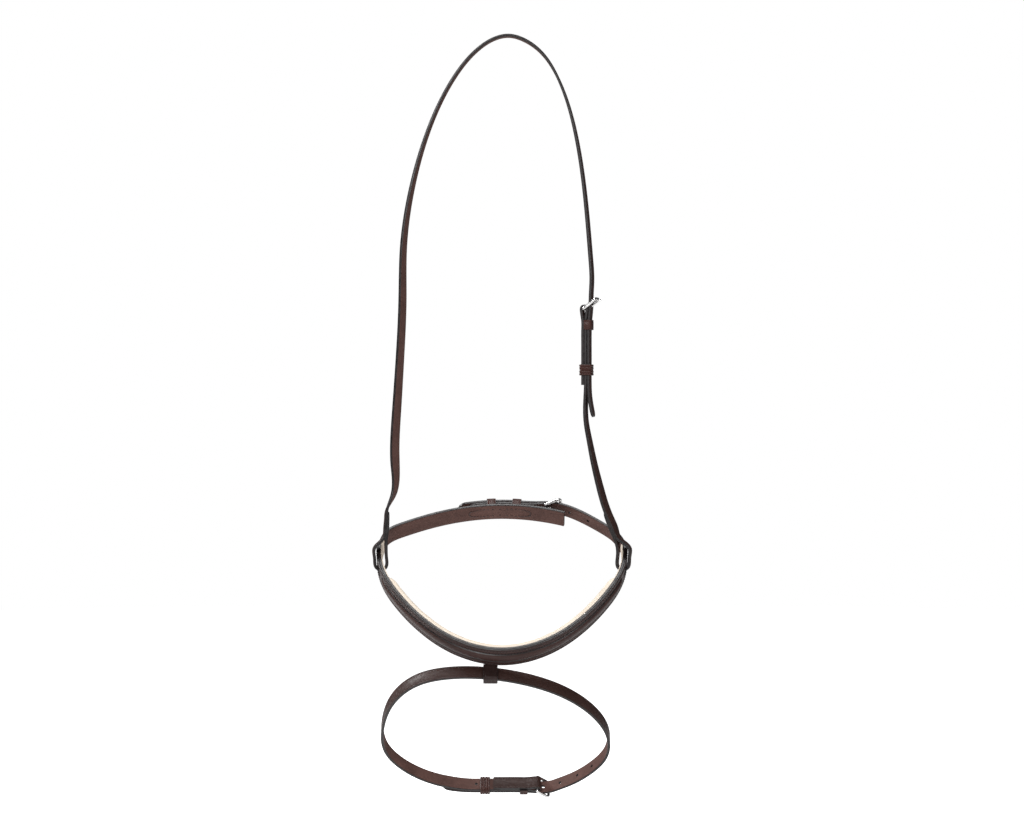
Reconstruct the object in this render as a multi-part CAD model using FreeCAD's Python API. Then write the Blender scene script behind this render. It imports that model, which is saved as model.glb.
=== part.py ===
"""Padded caveson noseband on its own headstrap, with a flash strap below it.

Millimetres. The origin is the underside of the headstrap at the poll, +Z is up, +X is the
wearer's left side and -Y is the front (nose) side. The piece hangs as it does from a peg.
"""
import FreeCAD, Part
import math
import os
from FreeCAD import Vector

# ---- leather thicknesses and widths
STRAP_T = 2.8            # single strap leather
HEAD_W = 13.0            # headstrap and cheekpiece
REAR_W = 20.5            # wide rear strap
BILLET_W = 16.0          # narrow holed rear strap
NOSE_W = 23.0            # nosepiece
FLASH_W = 14.0           # flash strap
NOSE_LEATHER_T = 1.3     # outer leather of the nosepiece
BACKING_T = 3.0          # backing leather, and the wide rear strap in the same layer
CHAPE_T = 2.2            # one ply of the rear chape
PAD_T = 6.0              # foam pad and lining together
LINING_T = 1.0
BEAD_W = 9.0
BEAD_H = 2.0
BEAD_WALL = 0.9
BEAD_ROOT = 0.2          # how far the bead's core is let into the leather
FOAM_RIM = 2.0           # lining turned over the edges and ends of the foam
LINING_RIM = 0.6         # the padded lining stops this far inside the nosepiece edges
KEEPER_T = 1.4
RIBBON_STEP = 9.0        # spacing of the sections of a twisting strap

# ---- buckles
WIRE_R = 1.5             # frame wire
TONGUE_R = 1.1
RUNNING_FIT = 0.05       # radial clearance of the bar in leather and tongue eye
FRAME_GAP = 0.6          # strap edge to frame side
TONGUE_REST_GAP = 0.25
LAYER_GAP = 0.15         # between a billet and the leather it lies on
PLY_LAP = 0.3            # overlap of two plies that are glued into one piece
NOSE_BACK = 9.0          # length over which a folded chape flares round the bar
TONGUE_EYE_W = 2.6
TONGUE_EYE_WALL = 1.1
TONGUE_SLIT_W = 3.4
TONGUE_SLIT_BACK = 5.0   # how far the slit runs back from the bar
TONGUE_OVERHANG = 3.2
SLOT_MARGIN = 1.3        # room round the tongue, along the hole it has pulled long
SLOT_SIDE = 0.4          # and at each side of it
HOLE_R = 1.5
HOLE_PITCH = 22.0
FAR = 60.0               # longer than any cut needs to reach

# ---- where the pieces hang
RING_X = -6.5            # middle of the noseband ring
RING_Z = -530.0
RING_TILT = math.radians(46.0)      # nosepiece hangs lower than the rear strap
HINGE_S = -3.0           # hanger loops, measured in the ring plane
HINGE_N = -0.5
FLASH_Y = -72.3
FLASH_Z = -631.1
FLASH_TILT = math.radians(42.0)     # jaw side hangs lower
LOOP_X = -17.5           # flash attachment loop: where it hangs on the nosepiece
LOOP_S = -1.6            # its middle in the flash plane
LOOP_LONG = 14.0
LOOP_WALL = 1.6
LOOP_ROOM_S = 3.2        # half of the room inside it, through the flash strap
LOOP_ROOM_N = 7.8        # and across it
LOOP_CORNER = 2.4
TAB_ABOVE = 1.3          # the loop's tab starts this far below the nosepiece edge
TAB_UP = 9.0             # and runs this far up between leather and backing
TAB_GAP = 0.06           # between the tab and the nosepiece leather over it
SLOT_HALF_H = 4.9        # windows for the hanger loops: half height
SLOT_HALF_RUN = 1.6      # and half of their straight stretch

# ---- noseband outline, right half, in the ring plane: x and distance to the rear
RING_HALF = [(0, -117), (45, -104.5), (81, -75.5), (106, -43), (119.5, -17), (125, 5),
             (124.4, 27), (117, 43), (100.5, 53.5), (70, 66), (36, 75), (0, 78.3)]

# ---- rear buckle, on the ring, and the billet that runs to it from the wearer's left
REAR_END = (64, 68.5)    # cut end of the wide rear strap
REAR_BAR = (43.5, 74.3)
CHAPE_LONG = 80.0
CHAPE_GAP = 0.1          # chape and billet lie this far off the leather below them
BILLET_OVER = (88, 74, 60, 46, 32, 20)       # billet above the chape, past the bar
BILLET_FREE = [(58, 79.2), (71.5, 73.6), (86, 64.5), (100, 54), (112.5, 42.5)]
BILLET_INSIDE = (28, 15, 4, -8, -22)        # and under the nosepiece, past the slot
SHOULDER_FROM = 30.0     # the billet narrows between these two distances to the rear
SHOULDER_TO = 44.0
TONGUE_LEAD = 3.0        # the used hole of a billet lies this far from its bar
REAR_KEEPERS = (("rear_keeper_near", 29.0), ("rear_keeper_far", 54.5))
REAR_KEEPER_LONG = 9.0

# ---- flash strap centreline between its two straight buckle stretches, in the flash plane
FLASH_ROUTE = [(-56, 182.6), (-72, 177), (-104, 153.5), (-123.5, 120), (-124.5, 78), (-111, 34),
               (-86, 6.5), (-52, -3.5), (-17.5, -2), (20, 8.5), (55, 28.5), (84, 60),
               (99.5, 98), (97, 133), (83, 157), (66, 174.5), (50, 185.5)]
FLASH_BAR_X = 29.0
FLASH_BAR_S = 184.5
FLASH_TURNED_END = -15.5     # the turned ply, stitched back under the buckle, ends here
FLASH_KEEPER_X = -13.5       # keepers, measured from the bar
FLASH_KEEPER_LONG = 8.0
FLASH_KEEPER_SLACK = 1.4
FLASH_SLIDER_X = -53.0
FLASH_SLIDER_LONG = 10.0
SLIDER_GAP = 0.45            # room between a running keeper and its straps

# ---- headstrap from the cheek buckle over the poll to the left: x, y, z, twist in degrees
HEAD_STATIONS = [(82.3, -0.8, -222, 12), (79.0, 0, -182, 11),
                 (68.5, 0, -103, 8), (50.5, 0, -43, 4), (33, 0, -15.5, 2), (16, 0, -3, 0),
                 (0, 0, 1.4, 0), (-15, 0, -2, 0), (-31, 0, -12.5, -2), (-56, 0, -43, -4),
                 (-83.5, 0, -103, -8), (-98, 0, -158, -14), (-105, 0, -210, -20),
                 (-106, 0, -262, -26), (-108.5, 0, -320, -28), (-112, 0, -375, -32),
                 (-113.5, 0, -425, -34), (-115.3, -0.6, -458, -14)]
CHEEK_STATIONS = [(77.3, 0, -362, -12), (77.6, 0, -383, -14), (81.0, 0, -403, -17),
                  (85.0, 0, -423, -20), (91.5, -0.3, -450, -20)]
CHEEK_TWIST = 12.0       # degrees about Z
CHEEK_BAR = Vector(76.5, 0.3, -271.7)
CHEEK_FOLD_END = -76.0   # the turned ply of the cheekpiece ends here, below the bar
CHEEK_KEEPER_X = -16.0
CHEEK_KEEPER_LONG = 10.0
CHEEK_KEEPER_SLACK = 0.4
CHEEK_SLIDER_X = -61.0
CHEEK_SLIDER_LONG = 11.0
CHEEK_BILLET = [(-108, 8.6), (-97, 6.4), (-86, 4.8), (-76, 4.35), (-50, 4.35), (-24, 4.35),
                (-12, 4.8), (0, 5.9), (13, 6.3), (29, 7.0)]


def wire_of(points):
    return Part.makePolygon([Vector(*p) for p in points] + [Vector(*points[0])])


def prism(outline, low, high):
    """Closed outline of (x, y) points, filled and drawn from z = low to z = high."""
    face = Part.Face(wire_of([(x, y, low) for x, y in outline]))
    return face.extrude(Vector(0, 0, high - low))


def spline(points, periodic=False, tangents=None):
    curve = Part.BSplineCurve()
    nodes = [Vector(p[0], p[1], 0) for p in points]
    if periodic:
        curve.interpolate(Points=nodes, PeriodicFlag=True)
    elif tangents:
        curve.interpolate(Points=nodes, InitialTangent=Vector(*tangents[0], 0),
                          FinalTangent=Vector(*tangents[1], 0))
    else:
        curve.interpolate(Points=nodes)
    return curve


def outward(tangent):
    """Normal on the right-hand side of a direction in the plane."""
    return Vector(tangent.y, -tangent.x, 0).normalize()


class Route:
    """A planar line that leather follows, measured by its length."""

    def __init__(self, curve):
        self.curve = curve
        self.length = curve.length()
        self.start = curve.FirstParameter

    def at(self, distance, offset=0.0):
        if self.curve.isPeriodic():
            distance = distance % self.length
        u = self.curve.parameterAtDistance(distance, self.start)
        tangent = self.curve.tangent(u)[0]
        return self.curve.value(u) + outward(tangent) * offset

    def direction(self, distance):
        if self.curve.isPeriodic():
            distance = distance % self.length
        return self.curve.tangent(self.curve.parameterAtDistance(distance, self.start))[0]

    def near(self, x, y):
        """Distance along the line to its point nearest (x, y)."""
        return self.curve.length(self.start, self.curve.parameter(Vector(x, y, 0)))

    def side(self, begin, end, offset, step=7.0):
        count = max(4, int(abs(end - begin) / step))
        return [self.at(begin + (end - begin) * i / count, offset) for i in range(count + 1)]


def layer(route, begin, end, low, high, z_low, z_high):
    """Leather between two offsets of a route, from z_low to z_high across it."""
    inner = spline(route.side(begin, end, low)).toShape()
    outer = spline(route.side(begin, end, high)).toShape()
    first = Part.makeLine(inner.Vertexes[0].Point, outer.Vertexes[0].Point)
    last = Part.makeLine(inner.Vertexes[-1].Point, outer.Vertexes[-1].Point)
    face = Part.Face(Part.Wire(Part.__sortEdges__([inner, last, outer, first])))
    solid = face.extrude(Vector(0, 0, z_high - z_low))
    solid.translate(Vector(0, 0, z_low))
    return solid


def placed(shape, origin, x_axis, y_axis):
    """Move a shape so that its own x and y axes lie along the given ones."""
    x = Vector(x_axis).normalize()
    y = Vector(y_axis).normalize()
    z = x.cross(y)
    matrix = FreeCAD.Matrix(x.x, y.x, z.x, origin.x, x.y, y.y, z.y, origin.y,
                            x.z, y.z, z.z, origin.z, 0, 0, 0, 1)
    moved = shape.copy()
    moved.Placement = FreeCAD.Placement(matrix).multiply(moved.Placement)
    return moved


def ring_place(shape):
    v = Vector(0, math.cos(RING_TILT), math.sin(RING_TILT))
    return placed(shape, Vector(RING_X, 0, RING_Z), Vector(1, 0, 0), v)


def flash_place(shape):
    v = Vector(0, math.cos(FLASH_TILT), -math.sin(FLASH_TILT))
    return placed(shape, Vector(0, FLASH_Y, FLASH_Z), Vector(1, 0, 0), v)


def cheek_outward():
    turn = math.radians(CHEEK_TWIST)
    return Vector(math.cos(turn), -math.sin(turn), 0)


def cheek_station(down, out, twist):
    """Ribbon station at a point of the cheek buckle plane; twist is negative going down."""
    point = CHEEK_BAR + Vector(0, 0, down) + cheek_outward() * out
    return (point.x, point.y, point.z, twist)


def cheek_place(shape):
    """Cheek buckle plane: x runs down the cheekpiece, y outward."""
    out = cheek_outward()
    return placed(shape, CHEEK_BAR, Vector(0, 0, 1), out)


# ---- buckle, in its own plane: x from the bar towards the crossbar, y outward, z across
class Buckle:
    def __init__(self, width, ply, reach, angle):
        self.width = width
        self.ply = ply
        self.reach = reach
        self.angle = math.radians(angle)
        self.wrap_r = WIRE_R + RUNNING_FIT + ply
        self.side_z = width / 2 + FRAME_GAP + WIRE_R
        lift = WIRE_R + TONGUE_R + TONGUE_REST_GAP
        self.tongue_angle = self.angle + math.asin(lift / reach)
        self.billet_y = self.wrap_r + LAYER_GAP + STRAP_T / 2

    def frame(self):
        """Rounded rectangular wire loop."""
        corner = 2.0 * WIRE_R
        far = Vector(math.cos(self.angle), math.sin(self.angle), 0) * self.reach
        z = Vector(0, 0, self.side_z)
        bar = Part.makeCylinder(WIRE_R, 2 * self.side_z, z * -1, z)
        loop = bar
        run = Vector(far).normalize()
        for sign in (-1, 1):
            side = Part.makeCylinder(WIRE_R, self.reach - corner, z * sign, run)
            elbow = z * sign + run * (self.reach - corner)
            cut_in = far + z * sign * (1 - corner / self.side_z)
            bend = Part.makeCylinder(WIRE_R, (cut_in - elbow).Length, elbow, cut_in - elbow)
            loop = loop.fuse([side, bend, Part.makeSphere(WIRE_R, z * sign),
                              Part.makeSphere(WIRE_R, elbow), Part.makeSphere(WIRE_R, cut_in)])
        half = self.side_z - corner
        cross = Part.makeCylinder(WIRE_R, 2 * half, far - Vector(0, 0, half), Vector(0, 0, 1))
        return loop.fuse(cross).removeSplitter()

    def tongue(self):
        """Eye round the bar and a straight prong that lies on the crossbar."""
        inner = WIRE_R + RUNNING_FIT
        eye = Part.makeCylinder(inner + TONGUE_EYE_WALL, TONGUE_EYE_W,
                                Vector(0, 0, -TONGUE_EYE_W / 2))
        run = Vector(math.cos(self.tongue_angle), math.sin(self.tongue_angle), 0)
        length = self.reach + TONGUE_OVERHANG
        prong = Part.makeCylinder(TONGUE_R, length, Vector(0, 0, 0), run)
        tip = Part.makeSphere(TONGUE_R, run * length)
        bore = Part.makeCylinder(inner, 2 * FAR, Vector(0, 0, -FAR))
        return eye.fuse([prong, tip]).cut(bore).removeSplitter()

    def fold(self, low, high):
        """Leather folded round the bar, ending at x = -NOSE_BACK between low and high."""
        half = self.width / 2
        wrap = Part.makeCylinder(self.wrap_r, self.width, Vector(0, 0, -half))
        flare = prism([(-NOSE_BACK, low), (-NOSE_BACK, high), (0, self.wrap_r),
                       (0, -self.wrap_r)], -half, half)
        bore = Part.makeCylinder(WIRE_R + RUNNING_FIT, 2 * FAR, Vector(0, 0, -FAR))
        slit = Part.makeBox(TONGUE_SLIT_BACK + FAR, 2 * FAR, TONGUE_SLIT_W,
                            Vector(-TONGUE_SLIT_BACK, -FAR, -TONGUE_SLIT_W / 2))
        return wrap.fuse(flare).cut(bore).cut(slit)

    def billet_hole(self):
        """Slot that the tongue needs through a billet lying over the bar."""
        slope = math.tan(self.tongue_angle)
        half = TONGUE_R / math.sin(self.tongue_angle) + STRAP_T / 2 / slope + SLOT_MARGIN
        middle = self.billet_y / slope
        wide = 2 * (TONGUE_R + SLOT_SIDE)
        return Part.makeBox(2 * half, 3 * STRAP_T, wide,
                            Vector(middle - half, self.billet_y - 1.5 * STRAP_T, -wide / 2))


def keeper_ring(width, low, high, length, gap):
    """Closed leather band round a stack of straps: x along the straps."""
    half = width / 2 + gap
    outer = Part.makeBox(length, high - low + 2 * (gap + KEEPER_T), 2 * (half + KEEPER_T),
                         Vector(-length / 2, low - gap - KEEPER_T, -half - KEEPER_T))
    inner = Part.makeBox(length + 2, high - low + 2 * gap, 2 * half,
                         Vector(-length / 2 - 1, low - gap, -half))
    return outer.cut(inner)


def keeper_staple(width, foot, high, length):
    """Three-sided keeper over a billet, its two feet stitched to the strap edges."""
    ring = keeper_ring(width, foot, high, length, LAYER_GAP)
    below = Part.makeBox(length + 2, 4 * KEEPER_T, 2 * width,
                         Vector(-length / 2 - 1, foot - 4 * KEEPER_T, -width))
    return ring.cut(below)


def round_end(half, point, run):
    """Block that rounds the end of a strap that starts at a point and runs off from it."""
    box = Part.makeBox(half, 2 * half, 2 * half, Vector(0, -half, -half))
    disc = Part.makeCylinder(half, 2 * half, Vector(half, -half, 0), Vector(0, 1, 0))
    return placed(box.cut(disc), point, run, outward(run) * -1)


# ---- hanger loop: in the XZ plane with its origin at the band's pivot, z across the strap
HANGER_GAP = 4.6         # half of the room between the two legs
HANGER_PLY = STRAP_T
HANGER_BOTTOM_W = 8.0
HANGER_NARROW_TO = 16.0  # height above the pivot up to which it stays that narrow
HANGER_FULL_FROM = 30.0
HANGER_LEG = 21.0        # height of the two legs below the crotch
LEG_SPREAD = 0.8         # how far the legs lean outward with the band
PIVOT_DROP = HANGER_GAP + HANGER_PLY / 2
LEFT_LEAN = [(4.0, 32), (5.5, 42), (6.3, 50)]
RIGHT_LEAN = [(-6.0, 32), (-10.0, 42), (-13.5, 50)]
LEFT_TURN = 6.0          # degrees that each hanger's outer face turns to the front
RIGHT_TURN = 10.0


def hanger(lean):
    """Strap end turned up through the band's slot and stitched to itself.

    lean lists the (x, height) of the strap's middle above the crotch, which leans away
    from the side that the legs spread to.
    """
    ply = HANGER_PLY
    gap = HANGER_GAP
    crotch_x, crotch_h = lean[0]
    leg = math.copysign(LEG_SPREAD, -crotch_x)
    left = [(-gap - ply, PIVOT_DROP), (leg - gap - ply, HANGER_LEG), (crotch_x - ply, crotch_h)]
    right = [(gap + ply, PIVOT_DROP), (leg + gap + ply, HANGER_LEG), (crotch_x + ply, crotch_h)]
    left += [(x - ply, h) for x, h in lean[1:]]
    right += [(x + ply, h) for x, h in lean[1:]]
    solid = prism(left + right[::-1], -HEAD_W / 2, HEAD_W / 2)
    turn = Part.makeCylinder(gap + ply, HEAD_W, Vector(0, PIVOT_DROP, -HEAD_W / 2))
    window = prism([(-gap, PIVOT_DROP), (leg - gap, HANGER_LEG), (crotch_x, crotch_h),
                    (leg + gap, HANGER_LEG), (gap, PIVOT_DROP)], -HEAD_W, HEAD_W)
    hollow = Part.makeCylinder(gap, 2 * HEAD_W, Vector(0, PIVOT_DROP, -HEAD_W))
    solid = solid.fuse(turn).cut([window, hollow])
    wide = HEAD_W / 2
    narrow = HANGER_BOTTOM_W / 2
    half = [(-FAR, narrow), (HANGER_NARROW_TO, narrow), (HANGER_FULL_FROM, wide), (2 * FAR, wide)]
    outline = half + [(height, -z) for height, z in reversed(half)]
    profile = Part.Face(wire_of([(-FAR, height, z) for height, z in outline]))
    return solid.common(profile.extrude(Vector(2 * FAR, 0, 0)))


def between(value, places, amounts):
    """Straight-line value of amounts at a place between the listed places."""
    for i in range(1, len(places)):
        if value <= places[i] or i == len(places) - 1:
            share = (value - places[i - 1]) / (places[i] - places[i - 1])
            return amounts[i - 1] + (amounts[i] - amounts[i - 1]) * min(share, 1.0)


def ribbon(stations, thick):
    """Strap lofted through (x, y, z, twist) stations; untwisted, its width lies along Y.

    Its two ends are cut level, to meet the level ends of their neighbours.
    """
    path = Part.BSplineCurve()
    path.interpolate(Points=[Vector(s[:3]) for s in stations])
    begin = path.FirstParameter
    places = [path.length(begin, path.parameter(Vector(s[:3]))) for s in stations]
    places[-1] = path.length()
    twists = [s[3] for s in stations]
    count = int(places[-1] / RIBBON_STEP)
    sections = []
    for i in range(count + 1):
        place = places[-1] * i / count
        u = path.parameterAtDistance(place, begin)
        run = path.tangent(u)[0]
        if i in (0, count):
            run = Vector(0, 0, math.copysign(1, run.z))
        turn = math.radians(between(place, places, twists))
        flat = Vector(0, 1, 0)
        side = flat.cross(run).normalize()
        across = (flat * math.cos(turn) + side * math.sin(turn)) * (HEAD_W / 2)
        lift = run.cross(across).normalize() * (thick / 2)
        centre = path.value(u)
        corners = [centre + across + lift, centre - across + lift,
                   centre - across - lift, centre + across - lift]
        sections.append(Part.makePolygon(corners + [corners[0]]))
    return Part.makeLoft(sections, True, True)


def single(shape):
    """The one solid that a piece is made of."""
    clean = shape.removeSplitter()
    solids = sorted(clean.Solids, key=lambda s: s.Volume)
    return solids[-1]


pieces = {}

# ================= noseband, in the ring plane =================
rear_half = [(-x, y) for x, y in RING_HALF[-2:0:-1]]
ring = Route(spline(RING_HALF + rear_half, periodic=True))
slot_at = ring.near(RING_HALF[5][0], HINGE_S)
pivot_x = ring.at(slot_at).x - (NOSE_LEATHER_T + BACKING_T + LINING_T) / 2

NOSE_END = slot_at + 30.0            # nosepiece leather, past each hanger
PAD_END = slot_at - 22.0
BACKING_END = slot_at - 22.0
BEAD_END = slot_at - 15.0
LINING_LEFT_END = slot_at + 40.0
d_backing = -NOSE_LEATHER_T
d_lining = d_backing - BACKING_T
d_pad = d_lining - PAD_T
half_nose = NOSE_W / 2
half_rear = REAR_W / 2


def hanger_slots():
    """Windows that the hanger loops pass through, one at each side of the ring."""
    high = SLOT_HALF_H
    run = SLOT_HALF_RUN
    tools = []
    for side in (-1, 1):
        start = Vector(side * RING_HALF[5][0] - PAD_T * 2, HINGE_S, HINGE_N)
        tools.append(Part.makeBox(4 * PAD_T, 2 * run, 2 * high, start - Vector(0, run, high)))
        for end in (-run, run):
            middle = start + Vector(0, end, 0)
            tools.append(Part.makeCylinder(high, 4 * PAD_T, middle, Vector(1, 0, 0)))
    return tools


def nosepiece():
    """Outer leather with a raised bead over a core, plus the core itself."""
    leather = layer(ring, -NOSE_END, NOSE_END, d_backing, 0, -half_nose, half_nose)
    bead = layer(ring, -BEAD_END, BEAD_END, -BEAD_ROOT, BEAD_H, -BEAD_W / 2, BEAD_W / 2)
    rim = BEAD_W / 2 - BEAD_WALL
    end = BEAD_END - BEAD_WALL
    core = layer(ring, -end, end, -BEAD_ROOT, BEAD_H - BEAD_WALL, -rim, rim)
    return leather.fuse(bead).cut([core] + hanger_slots()), core


def attachment_loop():
    """Ring round the flash strap, and its tab between leather and backing."""
    centre = Vector(LOOP_X - LOOP_LONG / 2, LOOP_S, 0)
    room = Vector(0, LOOP_ROOM_S, LOOP_ROOM_N)
    wall = Vector(0, LOOP_WALL, LOOP_WALL)
    size = (room + wall) * 2
    outer = Part.makeBox(LOOP_LONG, size.y, size.z, centre - room - wall)
    along = [e for e in outer.Edges if abs(e.tangentAt(e.FirstParameter).x) > 0.9]
    outer = outer.makeFillet(LOOP_CORNER, along)
    inner = Part.makeBox(2 * FAR, 2 * room.y, 2 * room.z, centre - room - Vector(FAR, 0, 0))
    middle = ring.near(LOOP_X - RING_X, RING_HALF[0][1])
    if middle > ring.length / 2:
        middle -= ring.length
    tab = layer(ring, middle - LOOP_LONG / 2, middle + LOOP_LONG / 2, d_backing - LOOP_WALL,
                d_backing - TAB_GAP, -half_nose - TAB_ABOVE, -half_nose + TAB_UP)
    return flash_place(outer.cut(inner)).fuse(ring_place(tab)), tab


nose_leather, bead_core = nosepiece()
flash_loop, loop_tab = attachment_loop()
pieces["nosepiece_leather"] = ring_place(nose_leather)
pieces["nosepiece_bead_core"] = ring_place(bead_core)
backing = layer(ring, -BACKING_END, BACKING_END, d_lining, d_backing, -half_nose, half_nose)
pieces["nosepiece_backing"] = ring_place(backing.cut(loop_tab))
foam_end = PAD_END - FOAM_RIM - LINING_T
foam_half = half_nose - FOAM_RIM
foam = layer(ring, -foam_end, foam_end, d_pad + LINING_T, d_lining - 2 * PLY_LAP,
             -foam_half, foam_half)
lining_half = half_nose - LINING_RIM
lining = layer(ring, -PAD_END, PAD_END, d_pad, d_lining - PLY_LAP, -lining_half, lining_half)
lining = lining.fuse(layer(ring, -LINING_LEFT_END, NOSE_END, d_lining - LINING_T, d_lining,
                           -half_rear, half_rear))
pieces["nosepiece_pad"] = ring_place(foam)
pieces["nosepiece_lining"] = ring_place(lining.cut([foam] + hanger_slots()))
pieces["flash_attachment_loop"] = flash_loop

# ---- rear strap, chape, buckle and billet
rear_end = ring.near(*REAR_END)
rear_strap = layer(ring, rear_end, ring.length - BACKING_END, d_lining, d_backing,
                   -half_rear, half_rear)
pieces["rear_strap"] = ring_place(rear_strap.cut(hanger_slots()))

rear_buckle = Buckle(BILLET_W, CHAPE_T, 17.0, 38.0)
bar_at = ring.near(*REAR_BAR)
bar_d = d_backing + rear_buckle.wrap_r + CHAPE_GAP
bar = ring.at(bar_at, bar_d)
toward = ring.direction(bar_at) * -1
away = outward(ring.direction(bar_at))


def rear_place(shape):
    return ring_place(placed(shape, bar, toward, away))


chape_top = d_backing + 2 * CHAPE_T
chape_fold = rear_buckle.fold(d_backing - bar_d + PLY_LAP, chape_top - bar_d)
chape_plies = layer(ring, bar_at + NOSE_BACK - 0.5, bar_at + CHAPE_LONG, d_backing, chape_top,
                    -BILLET_W / 2, BILLET_W / 2)
pieces["rear_chape"] = rear_place(chape_fold).fuse(ring_place(chape_plies))
pieces["rear_buckle_frame"] = rear_place(rear_buckle.frame())
pieces["rear_buckle_tongue"] = rear_place(rear_buckle.tongue())

billet_d = chape_top + LAYER_GAP + STRAP_T / 2 + CHAPE_GAP
side_d = (d_lining + d_backing) / 2
over = [ring.at(bar_at + step, billet_d) for step in BILLET_OVER]
hump = [ring.at(bar_at + 10, billet_d + 1.1), ring.at(bar_at, bar_d + rear_buckle.billet_y)]
inside = [ring.at(slot_at + step, side_d) for step in BILLET_INSIDE]
rear_route = Route(spline(over + hump + [Vector(x, y, 0) for x, y in BILLET_FREE] + inside))
rear_billet = layer(rear_route, 0, rear_route.length, -STRAP_T / 2, STRAP_T / 2,
                    -half_rear, half_rear)
shoulders = []
for side in (-1, 1):
    edge = side * BILLET_W / 2
    outline = [(-2 * FAR, SHOULDER_FROM, side * (half_rear + PLY_LAP)),
               (-2 * FAR, SHOULDER_TO, edge), (-2 * FAR, 2 * FAR, edge),
               (-2 * FAR, 2 * FAR, side * FAR), (-2 * FAR, SHOULDER_FROM, side * FAR)]
    shoulders.append(Part.Face(wire_of(outline)).extrude(Vector(4 * FAR, 0, 0)))


def punch(route, distance):
    """Round hole through a strap at a distance along its route."""
    out = outward(route.direction(distance))
    return Part.makeCylinder(HOLE_R, 4 * STRAP_T, route.at(distance) - out * 2 * STRAP_T, out)


over_tongue = ring.at(bar_at - TONGUE_LEAD, bar_d + rear_buckle.billet_y)
rear_used = rear_route.near(over_tongue.x, over_tongue.y)
rear_holes = [punch(rear_route, rear_used + HOLE_PITCH * k) for k in (-2, -1, 1, 2)]
rear_trim = round_end(BILLET_W / 2, rear_route.at(0), rear_route.direction(0))
rear_billet = rear_billet.cut(shoulders + rear_holes + hanger_slots() + [rear_trim])
pieces["rear_billet"] = ring_place(rear_billet).cut(rear_place(rear_buckle.billet_hole()))

for name, step in REAR_KEEPERS:
    seat = ring.at(bar_at + step)
    rear_keeper = keeper_staple(BILLET_W, d_backing, billet_d + STRAP_T / 2, REAR_KEEPER_LONG)
    run = ring.direction(bar_at + step)
    pieces[name] = ring_place(placed(rear_keeper, seat, run * -1, outward(run)))

# ================= flash strap, in its own plane =================
flash_buckle = Buckle(FLASH_W, STRAP_T, 16.0, 42.0)
flash_bar = Vector(FLASH_BAR_X, FLASH_BAR_S, 0)
main_s = FLASH_BAR_S + STRAP_T / 2
flash_billet_s = FLASH_BAR_S + STRAP_T + LAYER_GAP + STRAP_T / 2
straight = [(x, main_s) for x in (-8, -18, -28, -38)]
over_bar = FLASH_BAR_S + flash_buckle.billet_y
rise = [(40, over_bar), (29, over_bar), (18, flash_billet_s + 0.5)]
tail = [(x, flash_billet_s) for x in (8, -2, -14, -26, -38)]
tail += [(-53, flash_billet_s - 1.6), (-68, 182.8)]
flash_route = Route(spline(straight + FLASH_ROUTE + rise + tail))
half_flash = FLASH_W / 2


def flash_at(shape):
    return flash_place(placed(shape, flash_bar, Vector(1, 0, 0), Vector(0, 1, 0)))


def flash_ply(from_x, low):
    """Straight ply from a place on the strap to the fold round the bar."""
    return Part.makeBox(FLASH_BAR_X - NOSE_BACK + 0.5 - from_x, STRAP_T, FLASH_W,
                        Vector(from_x, low, -half_flash))


flash_strap = layer(flash_route, 0, flash_route.length, -STRAP_T / 2, STRAP_T / 2,
                    -half_flash, half_flash)
flash_strap = flash_strap.fuse([flash_ply(-8.5, FLASH_BAR_S),
                                flash_ply(FLASH_TURNED_END, FLASH_BAR_S - STRAP_T)])
flash_used = flash_route.near(FLASH_BAR_X + 4, over_bar)
flash_holes = [punch(flash_route, flash_used - HOLE_PITCH * k) for k in (-4, -3, -2, 1, 2, 3)]
flash_trim = round_end(half_flash, flash_route.at(flash_route.length),
                       flash_route.direction(flash_route.length) * -1)
flash_strap = flash_place(flash_strap.cut(flash_holes + [flash_trim]))
flash_strap = flash_strap.fuse(flash_at(flash_buckle.fold(-STRAP_T, STRAP_T)))
pieces["flash_strap"] = flash_strap.cut(flash_at(flash_buckle.billet_hole()))
pieces["flash_buckle_frame"] = flash_at(flash_buckle.frame())
pieces["flash_buckle_tongue"] = flash_at(flash_buckle.tongue())
flash_stack = 2 * STRAP_T + LAYER_GAP
flash_fixed = keeper_staple(FLASH_W, 0, flash_stack + FLASH_KEEPER_SLACK, FLASH_KEEPER_LONG)
flash_fixed.translate(Vector(FLASH_KEEPER_X, 0, 0))
pieces["flash_fixed_keeper"] = flash_at(flash_fixed)
flash_slider = keeper_ring(FLASH_W, 0, flash_stack, FLASH_SLIDER_LONG, SLIDER_GAP)
flash_slider.translate(Vector(FLASH_SLIDER_X, 0, 0))
pieces["flash_running_keeper"] = flash_at(flash_slider)

# ================= cheek buckle, cheekpiece and headstrap =================
cheek_buckle = Buckle(HEAD_W, HANGER_PLY, 15.6, 50.0)
half_head = HEAD_W / 2
cheek_route = Route(spline(CHEEK_BILLET, tangents=((1, -0.2), (1, 0))))
cheek_billet = layer(cheek_route, 0, cheek_route.length, -STRAP_T / 2, STRAP_T / 2,
                     -half_head, half_head)
cheek_trim = round_end(half_head, cheek_route.at(0), cheek_route.direction(0))
head_holes = [Part.makeCylinder(HOLE_R, FAR, Vector(TONGUE_LEAD + HOLE_PITCH * k, -4, 0),
                                Vector(0, 1, 0))
              for k in (-4, -3, -2, -1, 1, 2, 3)]
pivot = Vector(0, HINGE_S * math.cos(RING_TILT) - HINGE_N * math.sin(RING_TILT),
               RING_Z + HINGE_S * math.sin(RING_TILT) + HINGE_N * math.cos(RING_TILT))


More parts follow.
